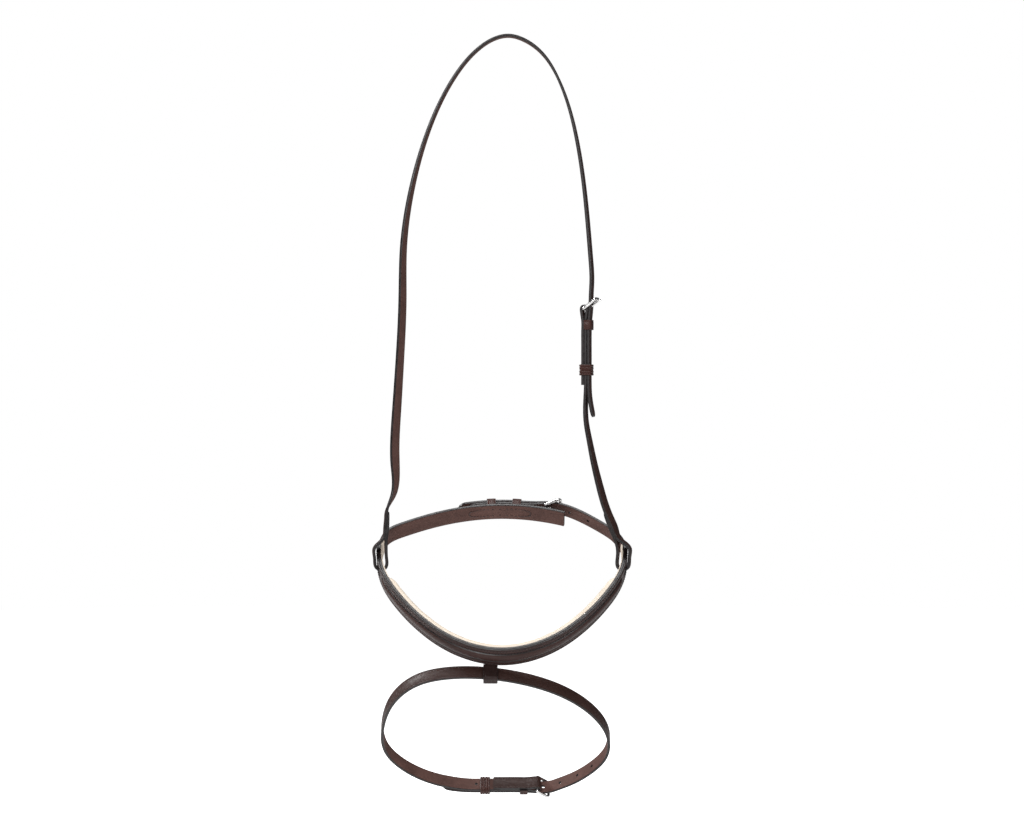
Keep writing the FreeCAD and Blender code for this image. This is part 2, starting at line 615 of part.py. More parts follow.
def hanger_place(shape, side, turn):
    """Put a hanger at the band's pivot on the given side; turn swings its face to the front."""
    angle = math.radians(turn)
    origin = Vector(RING_X + side * pivot_x, pivot.y, pivot.z)
    outer = Vector(math.cos(angle), -side * math.sin(angle), 0)
    return placed(shape, origin, outer, Vector(0, 0, 1))


def hanger_station(lean, side, turn):
    """Ribbon station on the outer ply at the top of a hanger."""
    x, height = lean[-1]
    top = Part.Vertex(Vector(x + side * HANGER_PLY / 2, height, 0))
    point = hanger_place(top, side, turn).Point
    return (point.x, point.y, point.z, -side * turn)


upper = cheek_station(*CHEEK_BILLET[-1], CHEEK_TWIST)
strap = ribbon([upper] + HEAD_STATIONS + [hanger_station(LEFT_LEAN, -1, LEFT_TURN)], STRAP_T)
left_hanger = hanger_place(hanger(LEFT_LEAN), -1, LEFT_TURN)
headstrap = cheek_place(cheek_billet.cut(cheek_trim)).fuse([strap, left_hanger])
headstrap = headstrap.cut([cheek_place(h) for h in head_holes])
pieces["headstrap"] = headstrap.cut(cheek_place(cheek_buckle.billet_hole()))

cheek_fold = cheek_buckle.fold(-HANGER_PLY, HANGER_PLY)
cheek_fold = cheek_fold.fuse(Part.makeBox(-CHEEK_FOLD_END - NOSE_BACK, 2 * HANGER_PLY, HEAD_W,
                                          Vector(CHEEK_FOLD_END, -HANGER_PLY, -half_head)))
lower = cheek_station(CHEEK_FOLD_END, HANGER_PLY / 2, -CHEEK_TWIST)
cheek_ribbon = ribbon([lower] + CHEEK_STATIONS + [hanger_station(RIGHT_LEAN, 1, RIGHT_TURN)],
                      HANGER_PLY)
right_hanger = hanger_place(hanger(RIGHT_LEAN), 1, RIGHT_TURN)
pieces["cheekpiece"] = cheek_place(cheek_fold).fuse([cheek_ribbon, right_hanger])
pieces["cheek_buckle_frame"] = cheek_place(cheek_buckle.frame())
pieces["cheek_buckle_tongue"] = cheek_place(cheek_buckle.tongue())
cheek_stack = HANGER_PLY + LAYER_GAP + STRAP_T
cheek_fixed = keeper_staple(HEAD_W, 0, cheek_stack + CHEEK_KEEPER_SLACK, CHEEK_KEEPER_LONG)
cheek_fixed.translate(Vector(CHEEK_KEEPER_X, 0, 0))
pieces["cheek_fixed_keeper"] = cheek_place(cheek_fixed)
cheek_slider = keeper_ring(HEAD_W, -HANGER_PLY, cheek_stack, CHEEK_SLIDER_LONG, SLIDER_GAP)
cheek_slider.translate(Vector(CHEEK_SLIDER_X, 0, 0))
pieces["cheek_running_keeper"] = cheek_place(cheek_slider)

os.makedirs("parts", exist_ok=True)
for name, shape in pieces.items():
    single(shape).exportStep("parts/" + name + ".step")
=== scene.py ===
"""Looks of a padded caveson noseband with its headstrap and flash strap.

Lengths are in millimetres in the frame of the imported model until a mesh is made.
"""
import math

import bmesh
import bpy
import numpy as np
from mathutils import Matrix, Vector, noise


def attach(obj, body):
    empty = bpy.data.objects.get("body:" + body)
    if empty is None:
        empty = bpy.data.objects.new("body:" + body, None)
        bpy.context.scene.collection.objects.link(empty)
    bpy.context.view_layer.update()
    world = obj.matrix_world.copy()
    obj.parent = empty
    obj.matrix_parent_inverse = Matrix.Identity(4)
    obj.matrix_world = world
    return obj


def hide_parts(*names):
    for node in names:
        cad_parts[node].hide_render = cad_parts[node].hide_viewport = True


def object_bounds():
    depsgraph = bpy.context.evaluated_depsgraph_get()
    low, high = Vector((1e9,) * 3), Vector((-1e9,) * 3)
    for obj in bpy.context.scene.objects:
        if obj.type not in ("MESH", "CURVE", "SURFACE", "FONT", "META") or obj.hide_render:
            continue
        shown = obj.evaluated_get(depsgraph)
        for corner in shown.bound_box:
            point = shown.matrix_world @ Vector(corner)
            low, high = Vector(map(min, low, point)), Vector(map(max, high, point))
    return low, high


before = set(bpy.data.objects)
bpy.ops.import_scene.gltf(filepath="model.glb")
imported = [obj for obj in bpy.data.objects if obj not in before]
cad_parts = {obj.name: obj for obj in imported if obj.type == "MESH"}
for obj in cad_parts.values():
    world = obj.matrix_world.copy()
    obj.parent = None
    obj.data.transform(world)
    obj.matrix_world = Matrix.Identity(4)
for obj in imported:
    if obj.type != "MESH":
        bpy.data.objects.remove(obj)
cad_box = [list(corner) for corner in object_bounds()]
MM = 0.001

# ---- sizes of the leather, as in the CAD
STRAP_T = 2.8
HEAD_W = 13.0
REAR_W = 20.5
BILLET_W = 16.0
NOSE_W = 23.0
FLASH_W = 14.0
NOSE_LEATHER_T = 1.3
BACKING_T = 3.0
CHAPE_T = 2.2
PAD_T = 6.0
LINING_T = 1.0
BEAD_H = 2.0
KEEPER_T = 1.4
WIRE_R = 1.5
TONGUE_R = 1.1
LAYER_GAP = 0.15
HOLE_R = 1.5
HOLE_PITCH = 22.0
STITCH_PITCH = 3.1
STITCH_SHARE = 0.74      # of the pitch that shows thread
STITCH_RINGS = ((-1.0, 0.35), (-0.72, 0.85), (-0.3, 1.0), (0.3, 1.0), (0.72, 0.85), (1.0, 0.35))
BAR_PLAY = 0.05          # between a bar and the leather round it
BAR_CORNER = 1.6
CROSSBAR_CORNER = 3.4
SLIT_HALF = 1.7
KEEPER_CORNER = 1.9
SLIDER_GAP = 0.45        # between a running keeper and the straps in it
SLIDER_RIDGES = 4
REAR_KEEPERS = (("rear_keeper_near", 29.0), ("rear_keeper_far", 54.5))  # from the bar
CHEEK_FIXED_AT = -16.0   # the other keepers, along the straps from the bar
CHEEK_SLIDER_AT = -61.0
FLASH_FIXED_AT = -13.5
FLASH_SLIDER_AT = -53.0
TONGUE_LEAD = 3.0        # the used hole lies this far from the bar
ASKEW = (0.3, 0.8, 0.5)  # a direction that is parallel to no strap

# ---- noseband ring and flash strap, in their own planes
RING_ORIGIN = (-6.5, 0, -530.0)
RING_TILT = math.radians(46.0)
RING_HALF = [(0, -117), (45, -104.5), (81, -75.5), (106, -43), (119.5, -17), (125, 5),
             (124.4, 27), (117, 43), (100.5, 53.5), (70, 66), (36, 75), (0, 78.3)]
SLOT_S = -3.0
SLOT_N = -0.5
SLOT_R = 4.9
REAR_END = (64, 68.5)
REAR_BAR = (43.5, 74.3)
CHAPE_LONG = 80.0
BILLET_FREE = [(58, 79.2), (71.5, 73.6), (86, 64.5), (100, 54), (112.5, 42.5)]
OVAL_STITCHES = 44
OVAL_MIDDLE = 46.0       # of the stitched oval, from the bar
OVAL_HALF = 32.0
BEAD_FADE = 10.0
BEAD_EDGE = 6.5          # inside this distance the profile fades out with the bead
NOSE_PROFILE = [(0, BEAD_H), (1.3, BEAD_H * 0.97), (2.5, BEAD_H * 0.84), (3.5, BEAD_H * 0.58),
                (4.2, BEAD_H * 0.2), (4.7, -0.75), (5.5, -0.8), (6.3, -0.1), (6.9, 0.0), (8.7, 0.0),
                (9.3, -0.45), (9.9, 0.0)]
ROLL = 1.2               # width of the rolled edge
NOSE_SEAM = 9.3          # rows of stitches, from the middle of the nosepiece
BEAD_SEAM = 5.1
FLASH_SEAM = 5.4
HEAD_CREASE = 4.9
FLASH_ORIGIN = (0, -72.3, -631.1)
FLASH_TILT = math.radians(42.0)
FLASH_ROUTE = [(-56, 182.6), (-72, 177), (-104, 153.5), (-123.5, 120), (-124.5, 78), (-111, 34),
               (-86, 6.5), (-52, -3.5), (-17.5, -2), (20, 8.5), (55, 28.5), (84, 60),
               (99.5, 98), (97, 133), (83, 157), (66, 174.5), (50, 185.5)]
FLASH_BAR = (29.0, 184.5)
LOOP_AT = (-17.5, -1.6)
LOOP_LONG = 14.0
LOOP_ROOM = 3.2
TAB_BELOW = 1.3
TAB_UP = 8.0

# ---- headstrap and cheekpiece
HEAD_STATIONS = [(82.3, -0.8, -222, 12), (79.0, 0, -182, 11),
                 (68.5, 0, -103, 8), (50.5, 0, -43, 4), (33, 0, -15.5, 2), (16, 0, -3, 0),
                 (0, 0, 1.4, 0), (-15, 0, -2, 0), (-31, 0, -12.5, -2), (-56, 0, -43, -4),
                 (-83.5, 0, -103, -8), (-98, 0, -158, -14), (-105, 0, -210, -20),
                 (-106, 0, -262, -26), (-108.5, 0, -320, -28), (-112, 0, -375, -32),
                 (-113.5, 0, -425, -34), (-115.3, -0.6, -458, -14)]
CHEEK_STATIONS = [(77.3, 0, -362, -12), (77.6, 0, -383, -14), (81.0, 0, -403, -17),
                  (85.0, 0, -423, -21), (91.5, -0.3, -450, -26)]
CHEEK_BAR = (76.5, 0.3, -271.7)
CHEEK_TWIST = 12.0
CHEEK_BILLET = [(-108, 8.6), (-97, 6.4), (-86, 4.8), (-76, 4.35), (-50, 4.35), (-24, 4.35),
                (-12, 4.8), (0, 5.9), (13, 6.3), (29, 7.0)]
HANGER_GAP = 4.6
HANGER_LEG = 21.0
LEG_SPREAD = 0.8
FOLDED_HALF = 4.0        # half width of a loop where it is folded narrower
LEFT_LEAN = [(4.0, 32, 6), (5.5, 42, 6), (6.3, 50, 6), (7.0, 58, 8)]
RIGHT_LEAN = [(-6.0, 32, 20), (-10.0, 42, 28), (-13.5, 50, 30), (-17.0, 58, 29)]
LEFT_TURN = 6.0
RIGHT_TURN = 10.0


# ================= lines that leather follows =================
def unit(v):
    v = np.asarray(v, float)
    return v / np.linalg.norm(v, axis=-1, keepdims=True)


class Curve:
    """Smooth curve through points, measured by its length."""

    def __init__(self, points, periodic=False):
        p = np.array(points, float)
        if periodic:
            p = np.vstack([p, p[:1]])
        t = np.concatenate([[0], np.cumsum(np.linalg.norm(np.diff(p, axis=0), axis=1))])
        m = self.slopes(p, t, periodic)
        u = np.linspace(0, t[-1], 6000)
        i = np.clip(np.searchsorted(t, u, side="right") - 1, 0, len(t) - 2)
        h = (t[i + 1] - t[i])[:, None]
        x = (u - t[i])[:, None] / h
        self.points = ((2 * x**3 - 3 * x**2 + 1) * p[i] + (x**3 - 2 * x**2 + x) * h * m[i]
                       + (3 * x**2 - 2 * x**3) * p[i + 1] + (x**3 - x**2) * h * m[i + 1])
        step = np.linalg.norm(np.diff(self.points, axis=0), axis=1)
        self.s = np.concatenate([[0], np.cumsum(step)])
        self.length = self.s[-1]
        self.periodic = periodic

    @staticmethod
    def slopes(p, t, periodic):
        """Slopes at the points that make the curve's second derivative continuous."""
        n = len(p)
        h = np.diff(t)
        a = np.zeros((n, n))
        b = np.zeros_like(p)
        for i in range(1, n - 1):
            a[i, i - 1:i + 2] = h[i], 2 * (h[i - 1] + h[i]), h[i - 1]
            b[i] = 3 * (h[i] * (p[i] - p[i - 1]) / h[i - 1] + h[i - 1] * (p[i + 1] - p[i]) / h[i])
        if periodic:
            a[0, 0], a[0, 1], a[0, n - 2] = 2 * (h[-1] + h[0]), h[-1], h[0]
            b[0] = 3 * (h[0] * (p[0] - p[n - 2]) / h[-1] + h[-1] * (p[1] - p[0]) / h[0])
            a[-1, -1], a[-1, 0] = 1, -1
        else:
            for row, near in ((0, slice(0, 4)), (n - 1, slice(n - 4, n))):
                fit = np.linalg.solve(np.vander(t[near] - t[row], 4), p[near])
                a[row, row] = 1
                b[row] = fit[2]
        return np.linalg.solve(a, b)

    def wrap(self, s):
        return np.asarray(s, float) % self.length if self.periodic else np.asarray(s, float)

    def at(self, s, offset=0.0):
        s = self.wrap(s)
        p = np.stack([np.interp(s, self.s, c) for c in self.points.T], -1)
        if np.any(offset):
            d = self.direction(s)
            out = np.stack([d[..., 1], -d[..., 0]], -1)
            p = p + out * np.asarray(offset)[..., None]
        return p

    def direction(self, s):
        s = self.wrap(s)
        ahead, behind = s + 0.25, s - 0.25
        if not self.periodic:
            ahead, behind = np.minimum(ahead, self.length), np.maximum(behind, 0)
        return unit(self.at(ahead) - self.at(behind))

    def outward(self, s):
        d = self.direction(s)
        return np.stack([d[..., 1], -d[..., 0]], -1)

    def near(self, *point):
        return self.s[np.argmin(np.linalg.norm(self.points - np.array(point), axis=1))]


class Plane:
    """A point and three directions."""

    def __init__(self, origin, x, y):
        self.origin = np.array(origin, float)
        self.x = unit(x)
        self.y = unit(y)
        self.z = np.cross(self.x, self.y)

    def turn(self, v):
        v = np.asarray(v, float)
        third = v[..., 2:3] * self.z if v.shape[-1] > 2 else 0
        return v[..., 0:1] * self.x + v[..., 1:2] * self.y + third

    def out(self, v):
        return self.origin + self.turn(v)

    def inner(self, origin, x, y):
        return Plane(self.out(origin), self.turn(x), self.turn(y))


class Line:
    """Centreline of a strap with its directions: across its width, and up through it."""

    def __init__(self, centre, across, up, s):
        self.centre = centre
        self.across = across
        self.up = up
        self.s = s

    def flipped(self):
        return Line(self.centre, -self.across, -self.up, self.s)

    def point(self, s, a, t):
        return sum(np.stack([np.interp(s, self.s, c) for c in part.T], -1) * k
                   for part, k in ((self.centre, 1), (self.across, a), (self.up, t)))

    def frame(self, s):
        return [unit(np.array([np.interp(s, self.s, c) for c in part.T]))
                for part in (self.across, self.up)]


def plane_line(plane, curve, begin, end, step=2.0):
    """Line that follows a stretch of a curve in a plane, with its width across the plane."""
    count = max(3, int(abs(end - begin) / step))
    s = np.linspace(begin, end, count + 1)
    up = plane.turn(curve.outward(s))
    return Line(plane.out(curve.at(s)), np.broadcast_to(plane.z, up.shape), up, s - begin)


def free_line(points, angles, step=1.8):
    """Line through points in space; angles turn its width from Y towards X, in degrees.

    Also gives the distance along the line at which each point lies.
    """
    curve = Curve(points)
    s = np.linspace(0, curve.length, int(curve.length / step) + 1)
    run = curve.direction(s)
    # a folded strap passes the same place twice, so a point is looked for near its turn only
    window = 9.0
    steps = [np.linalg.norm(np.subtract(b, a)) for a, b in zip(points, points[1:])]
    rough = np.concatenate([[0], np.cumsum(steps)]) * curve.length / sum(steps)
    places = []
    for point, guess in zip(points, rough):
        gap = np.linalg.norm(curve.points - np.array(point), axis=1)
        gap[np.abs(curve.s - guess) >= window] = np.inf
        places.append(curve.s[np.argmin(gap)])
    turn = np.radians(np.interp(s, places, angles))
    kernel = np.hanning(13)
    turn = np.pad(turn, len(kernel) // 2, mode="edge")
    turn = np.convolve(turn, kernel / kernel.sum(), mode="valid")
    base = np.stack([np.sin(turn), np.cos(turn), np.zeros(len(s))], -1)
    across = unit(base - run * np.sum(base * run, axis=1)[:, None])
    return Line(curve.at(s), across, unit(np.cross(run, across)), s), places


# ================= meshes =================
GRAIN, EDGE, FLESH = 0, 1, 2


def make(name, verts, faces, body, materials, zones=None, replaces=(), smooth=40.0):
    """Mesh object in metres that rides on a body."""
    mesh = bpy.data.meshes.new(name)
    mesh.from_pydata([tuple(v) for v in np.asarray(verts) * MM], [], faces)
    for m in materials:
        mesh.materials.append(m)
    if zones is not None:
        mesh.polygons.foreach_set("material_index", zones)
    mesh.polygons.foreach_set("use_smooth", [True] * len(mesh.polygons))
    mesh.set_sharp_from_angle(angle=math.radians(smooth))
    mesh.update()
    o = bpy.data.objects.new(name, mesh)
    bpy.context.collection.objects.link(o)
    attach(o, body)
    if replaces:
        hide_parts(*replaces)
    return o


def outward_faces(o):
    bm = bmesh.new()
    bm.from_mesh(o.data)
    bmesh.ops.recalc_face_normals(bm, faces=bm.faces[:])
    bm.to_mesh(o.data)
    bm.free()


def tube_faces(rings, sides, closed=False):
    """Faces between rings of points, with a face over each end of an open tube."""
    faces = []
    for i in range(rings if closed else rings - 1):
        a, b = i * sides, ((i + 1) % rings) * sides
        for j in range(sides):
            q = (j + 1) % sides
            faces.append((a + j, a + q, b + q, b + j))
    if not closed:
        faces.append(tuple(reversed(range(sides))))
        faces.append(tuple(range((rings - 1) * sides, rings * sides)))
    return faces


def sweep(line, section, closed=False):
    """Rings of a section along a line: (verts, faces, zone of each face).

    section(s) gives points (a, t) anticlockwise and a zone for the strip after each one.
    """
    verts = []
    for centre, across, up, s in zip(line.centre, line.across, line.up, line.s):
        points, strip = section(s)
        points = np.asarray(points)
        verts.append(centre + points[:, 0:1] * across + points[:, 1:2] * up)
    rings = len(verts)
    zones = strip * rings if closed else strip * (rings - 1) + [EDGE, EDGE]
    return np.concatenate(verts), tube_faces(rings, len(strip), closed), zones


def swept(name, line, section, body, skin, replaces=(), smooth=40.0):
    """Piece with one section swept along a line."""
    verts, faces, zones = sweep(line, section)
    return make(name, verts, faces, body, skin, zones, replaces, smooth)


def mirrored(right, strip):
    """Whole section from the points and zones of its right half, listed from top to bottom."""
    left = [(-a, t) for a, t in right[-2:0:-1]]
    return (right + left)[::-1], strip[1:] + strip[::-1] + strip[:1]


def strap_section(half, low, high, creases=(), radius=0.55):
    """Section of a strap: outer face with pressed lines, rounded edges, flesh face.

    creases lists (distance from the middle, half width, rise) of ridges and grooves on the
    outer face, from the middle outward. half, low and high may be functions of the distance.
    """
    def section(s):
        w, t0, t1 = (v(s) if callable(v) else v for v in (half, low, high))
        r = min(radius, w * 0.7, (t1 - t0) * 0.45)
        right = [(0.0, t1)]
        for a, spread, rise in creases:
            if a + spread < w - r:
                right += [(a - spread, t1), (a, t1 + rise), (a + spread, t1)]
            else:
                right += [((w - r) * 0.999, t1)] * 3
        strip = [GRAIN] * (len(right) + 1) + [EDGE] * 5 + [FLESH] * 2
        right += [(w - r + r * math.sin(x), t1 - r + r * math.cos(x))
                  for x in np.radians((0, 30, 60, 90))]
        r2 = r * 0.6
        right += [(w - r2 + r2 * math.cos(x), t0 + r2 - r2 * math.sin(x))
                  for x in np.radians((0, 45, 90))]
        return mirrored(right + [(w * 0.5, t0), (0.0, t0)], strip)
    return section


def crease(at, depth=0.2, spread=0.45):
    """Pressed line at a distance from the middle of a strap, for strap_section."""
    return (at, spread, -depth)


def skived(length, at_begin=None, at_end=None):
    """Share of the thickness that is left towards the cut ends of a strap."""
    def share(s):
        near = min(s / at_begin if at_begin else 1, (length - s) / at_end if at_end else 1, 1.0)
        return 0.35 + 0.65 * max(near, 0.0) ** 0.7
    return share


def skived_section(half, share, crease_at, keep="low"):
    """Strap section that thins towards its ends, while its kept side stays where it is."""
    low, high = -STRAP_T / 2, STRAP_T / 2
    if keep == "low":
        return strap_section(half, low, lambda s: low + STRAP_T * share(s), [crease(crease_at)])
    return strap_section(half, lambda s: high - STRAP_T * share(s), high, [crease(crease_at)])


def round_off(rest, radius, depth=1.0, least=0.03):
    """Share of a strap's width that is left at this distance from its rounded end."""
    if rest >= radius:
        return 1.0
    return math.sqrt(1 - (1 - max(rest, least) / radius) ** 2 * depth)


def rounded(length, half, radius, at_begin=True):
    """Half width of a strap that is rounded off at its end, and at its beginning if asked."""
    def width(s):
        first = round_off(s, radius, least=0.02) if at_begin else 1.0
        return half * first * round_off(length - s, radius, least=0.02)
    return width


# ---- paths of wires and bands
def quarter(middle, r, begin, count):
    """Points of a quarter circle that begins at an angle in degrees."""
    angles = np.radians(np.linspace(begin, begin + 90, count))
    return [np.array(middle) + r * np.array((math.cos(a), math.sin(a))) for a in angles]


def densely(path, step, closed=True):
    """The same path with more points, so that none of its gaps is much longer than a step."""
    path = np.array(path)
    dense = []
    for p, q in zip(path, np.roll(path, -1, axis=0) if closed else path[1:]):
        count = max(1, int(np.linalg.norm(q - p) / step))
        dense += [p + (q - p) * k / count for k in range(count)]
    return np.array(dense if closed else dense + [path[-1]])


def directions(path, closed=True):
    if closed:
        return unit(np.roll(path, -1, axis=0) - np.roll(path, 1, axis=0))
    return unit(np.gradient(path, axis=0))


# ---- cutters
def cut(obj, cutters):
    """Take solids away from a piece, keeping its own materials on its own faces."""
    bm = bmesh.new()
    for verts, faces in cutters:
        made = [bm.verts.new(Vector(v) * MM) for v in verts]
        for f in faces:
            bm.faces.new([made[i] for i in f])
    bmesh.ops.recalc_face_normals(bm, faces=bm.faces[:])
    mesh = bpy.data.meshes.new("cutter")
    bm.to_mesh(mesh)
    bm.free()
    tool = bpy.data.objects.new("cutter", mesh)
    bpy.context.collection.objects.link(tool)
    for m in obj.data.materials:
        mesh.materials.append(m)
    edge = min(EDGE, len(mesh.materials) - 1)
    mesh.polygons.foreach_set("material_index", [edge] * len(mesh.polygons))
    modifier = obj.modifiers.new("cut", "BOOLEAN")
    modifier.object = tool
    modifier.operation = "DIFFERENCE"
    modifier.solver = "EXACT"
    bpy.context.view_layer.update()
    graph = bpy.context.evaluated_depsgraph_get()
    result = bpy.data.meshes.new_from_object(obj.evaluated_get(graph))
    if len(result.vertices) < len(obj.data.vertices) // 2:
        raise RuntimeError("the cut removed most of " + obj.name)
    obj.modifiers.clear()
    old = obj.data
    obj.data = result
    result.name = old.name + "_cut"
    bpy.data.meshes.remove(old)
    bpy.data.objects.remove(tool)
    bpy.data.meshes.remove(mesh)
    result.set_sharp_from_angle(angle=math.radians(40))


def tube(centre, axis, radius, half, side=None, count=20, stretch=0.0):
    """Round or stadium-shaped cutter through a point, along an axis."""
    axis = unit(axis)
    x = unit(side if side is not None else np.cross(axis, ASKEW))
    x = unit(x - axis * (x @ axis))
    y = np.cross(axis, x)
    verts = []
    for level in (-half, half):
        for a in np.linspace(0, 2 * math.pi, count, endpoint=False):
            shift = stretch * (1 if math.cos(a) > 0 else -1)
            verts.append(np.asarray(centre) + axis * level
                         + x * (radius * math.cos(a) + shift) + y * radius * math.sin(a))
    faces = [tuple(range(count)), tuple(range(2 * count - 1, count - 1, -1))]
    faces += [(i, (i + 1) % count, count + (i + 1) % count, count + i) for i in range(count)]
    return verts, faces


def brick(plane, low, high):
    x, y, z = ((low[i], high[i]) for i in range(3))
    verts = [plane.out((a, b, c)) for a in x for b in y for c in z]
    faces = [(0, 1, 3, 2), (4, 6, 7, 5), (0, 4, 5, 1), (2, 3, 7, 6), (0, 2, 6, 4), (1, 5, 7, 3)]
    return verts, faces


def punched(plane, curve, places, half):
    """Cutters of the round holes at some places of a strap."""
    return [tube(plane.out(curve.at(s)), plane.turn(curve.outward(s)), HOLE_R, half)
            for s in places]


# ---- thread
def stitches(name, rows, body, radius=0.28):
    """Rows of separate thread stitches; each row is a list of (point, along, up)."""
    verts, faces = [], []
    sides = 6
    for point, along, up in (stitch for row in rows for stitch in row):
        side = np.cross(up, along)
        half = STITCH_PITCH * STITCH_SHARE / 2
        base = len(verts)
        for x, share in STITCH_RINGS:
            r = radius * share
            sink = -radius * 1.1 * abs(x) ** 3
            for a in np.linspace(0, 2 * math.pi, sides, endpoint=False):
                verts.append(point + along * (x * half) + side * (r * math.cos(a))
                             + up * (r * math.sin(a) + sink + radius * 0.35))
        for k in range(len(STITCH_RINGS) - 1):
            for a in range(sides):
                i, j = base + k * sides + a, base + k * sides + (a + 1) % sides
                faces.append((i, i + sides, j + sides, j))
        faces.append(tuple(base + a for a in range(sides)))
        faces.append(tuple(len(verts) - 1 - a for a in range(sides)))
    make(name, verts, faces, body, [THREAD], smooth=80)


def seam(line, begin, end, a, t, slant=0.0):
    """Row of stitches along a strap, at a distance across it and a height through it."""
    row = []
    for s in np.arange(begin + STITCH_PITCH / 2, end, STITCH_PITCH):
        along = unit(line.point(s + 0.5, a, t) - line.point(s - 0.5, a, t))
        across, up = line.frame(s)
        along = unit(along + across * slant)
        row.append((line.point(s, a, t), along, unit(up - along * (up @ along))))
    return row


# ================= materials =================
def material(name, colour, roughness, specular=0.5, coat=0.0, metallic=0.0, sheen=0.0,
             coat_roughness=0.2):
    m = bpy.data.materials.new(name)
    m.use_nodes = True
    shader = m.node_tree.nodes["Principled BSDF"]
    shader.inputs["Base Color"].default_value = (*colour, 1)
    shader.inputs["Roughness"].default_value = roughness
    shader.inputs["Specular IOR Level"].default_value = specular
    shader.inputs["Coat Weight"].default_value = coat
    shader.inputs["Coat Roughness"].default_value = coat_roughness
    shader.inputs["Metallic"].default_value = metallic
    shader.inputs["Sheen Weight"].default_value = sheen
    return m, Nodes(m.node_tree, shader)


class Nodes:
    """Short calls for the nodes of one material."""

    def __init__(self, tree, shader):
        self.tree = tree
        self.shader = shader
        self.place = tree.nodes.new("ShaderNodeTexCoord").outputs["Object"]

    def put(self, kind, values, links):
        n = self.tree.nodes.new(kind)
        for key, value in values.items():
            if hasattr(n, key):
                setattr(n, key, value)
            else:
                n.inputs[key].default_value = value
        for key, source in links.items():
            self.tree.links.new(source, n.inputs[key])
        return n

    def scaled(self, scale):
        return self.put("ShaderNodeMapping", {"Scale": scale},
                        {"Vector": self.place}).outputs["Vector"]

    def noise(self, scale, detail=4.0, rough=0.55, where=None, distortion=0.0):
        n = self.put("ShaderNodeTexNoise", {"Scale": scale, "Detail": detail, "Roughness": rough,
                                            "Distortion": distortion},
                     {"Vector": where or self.place})
        return n.outputs["Fac"]

    def cells(self, scale, feature):
        n = self.put("ShaderNodeTexVoronoi", {"feature": feature, "Scale": scale},
                     {"Vector": self.place})
        return n.outputs["Distance"]

    def ramp(self, source, stops):
        n = self.put("ShaderNodeValToRGB", {}, {"Fac": source})
        ramp = n.color_ramp
        while len(ramp.elements) < len(stops):
            ramp.elements.new(0.5)
        for e, (place, colour) in zip(ramp.elements, stops):
            e.position = place
            e.color = (*colour, 1)
        return n.outputs["Color"]

    def span(self, source, low, high, to_low, to_high):
        n = self.put("ShaderNodeMapRange", {"From Min": low, "From Max": high, "To Min": to_low,
                                            "To Max": to_high}, {"Value": source})
        return n.outputs["Result"]

    def math(self, operation, a, b):
        n = self.tree.nodes.new("ShaderNodeMath")
        n.operation = operation
        for i, v in enumerate((a, b)):
            if isinstance(v, (int, float)):
                n.inputs[i].default_value = v
            else:
                self.tree.links.new(v, n.inputs[i])
        return n.outputs[0]

    def mix(self, share, a, b, blend="MIX"):
        n = self.tree.nodes.new("ShaderNodeMix")
        n.data_type = "RGBA"
        n.blend_type = blend
        for i, v in ((0, share), (6, a), (7, b)):
            if isinstance(v, (int, float)):
                n.inputs[i].default_value = v
            elif isinstance(v, tuple):
                n.inputs[i].default_value = (*v, 1)
            else:
                self.tree.links.new(v, n.inputs[i])
        return n.outputs[2]

    def bump(self, height, distance, strength=1.0, below=None):
        links = {"Height": height}
        if below is not None:
            links["Normal"] = below
        return self.put("ShaderNodeBump", {"Distance": distance, "Strength": strength},
                        links).outputs["Normal"]

    def finish(self, **sockets):
        for key, source in sockets.items():
            self.tree.links.new(source, self.shader.inputs[key.replace("_", " ")])


def shade(colour, k):
    return tuple(min(c * k, 1.0) for c in colour)


def grain_leather(name, colour, roughness=0.38, grain=1.0, specular=0.2, worn=1.4):
    """Oiled bridle leather: fine creased grain, uneven dye, a dull shine."""
    m, n = material(name, colour, roughness, specular)
    dye = n.noise(38, 5, 0.6)
    mottle = n.noise(260, 4, 0.6)
    base = n.ramp(dye, [(0.3, shade(colour, 0.72)), (0.55, colour), (0.78, shade(colour, worn))])
    base = n.mix(n.span(mottle, 0.4, 0.7, 0.0, 0.35), base, shade(colour, 0.6))
    pores = n.cells(1500, "F1")
    crease = n.cells(1150, "DISTANCE_TO_EDGE")
    fine = n.noise(3200, 3, 0.6)
    base = n.mix(n.span(crease, 0.0, 0.08, 0.32, 0.0), base, shade(colour, 0.42))
    rough = n.span(n.math("ADD", n.math("MULTIPLY", mottle, 0.6), n.math("MULTIPLY", fine, 0.4)),
                   0.35, 0.65, roughness - 0.1, roughness + 0.14)
    low = n.bump(n.span(crease, 0.0, 0.12, 0.0, 1.0), 0.00009 * grain, 0.7)
    low = n.bump(n.math("ADD", pores, n.math("MULTIPLY", fine, 0.5)), 0.00005 * grain, 0.6, low)
    normal = n.bump(n.noise(150, 3, 0.5), 0.0006, 0.25, low)
    n.finish(Base_Color=base, Roughness=rough, Normal=normal)
    return m


def edge_leather(name, colour, roughness=0.36):
    """Dyed and burnished strap edge: faint plies, small dents, a glossier shine."""
    m, n = material(name, colour, roughness, 0.3, coat=0.06, coat_roughness=0.25)
    blotch = n.noise(210, 5, 0.65)
    base = n.ramp(blotch, [(0.32, shade(colour, 0.55)), (0.52, colour), (0.75, shade(colour, 1.9))])
    fibre = n.noise(900, 4, 0.6, where=n.scaled((1.0, 1.0, 0.35)))
    base = n.mix(n.span(fibre, 0.5, 0.68, 0.0, 0.3), base, shade(colour, 2.2))
    rough = n.span(blotch, 0.3, 0.7, roughness - 0.08, roughness + 0.16)
    normal = n.bump(fibre, 0.00012, 0.5, n.bump(blotch, 0.0003, 0.35))
    n.finish(Base_Color=base, Roughness=rough, Normal=normal)
    return m


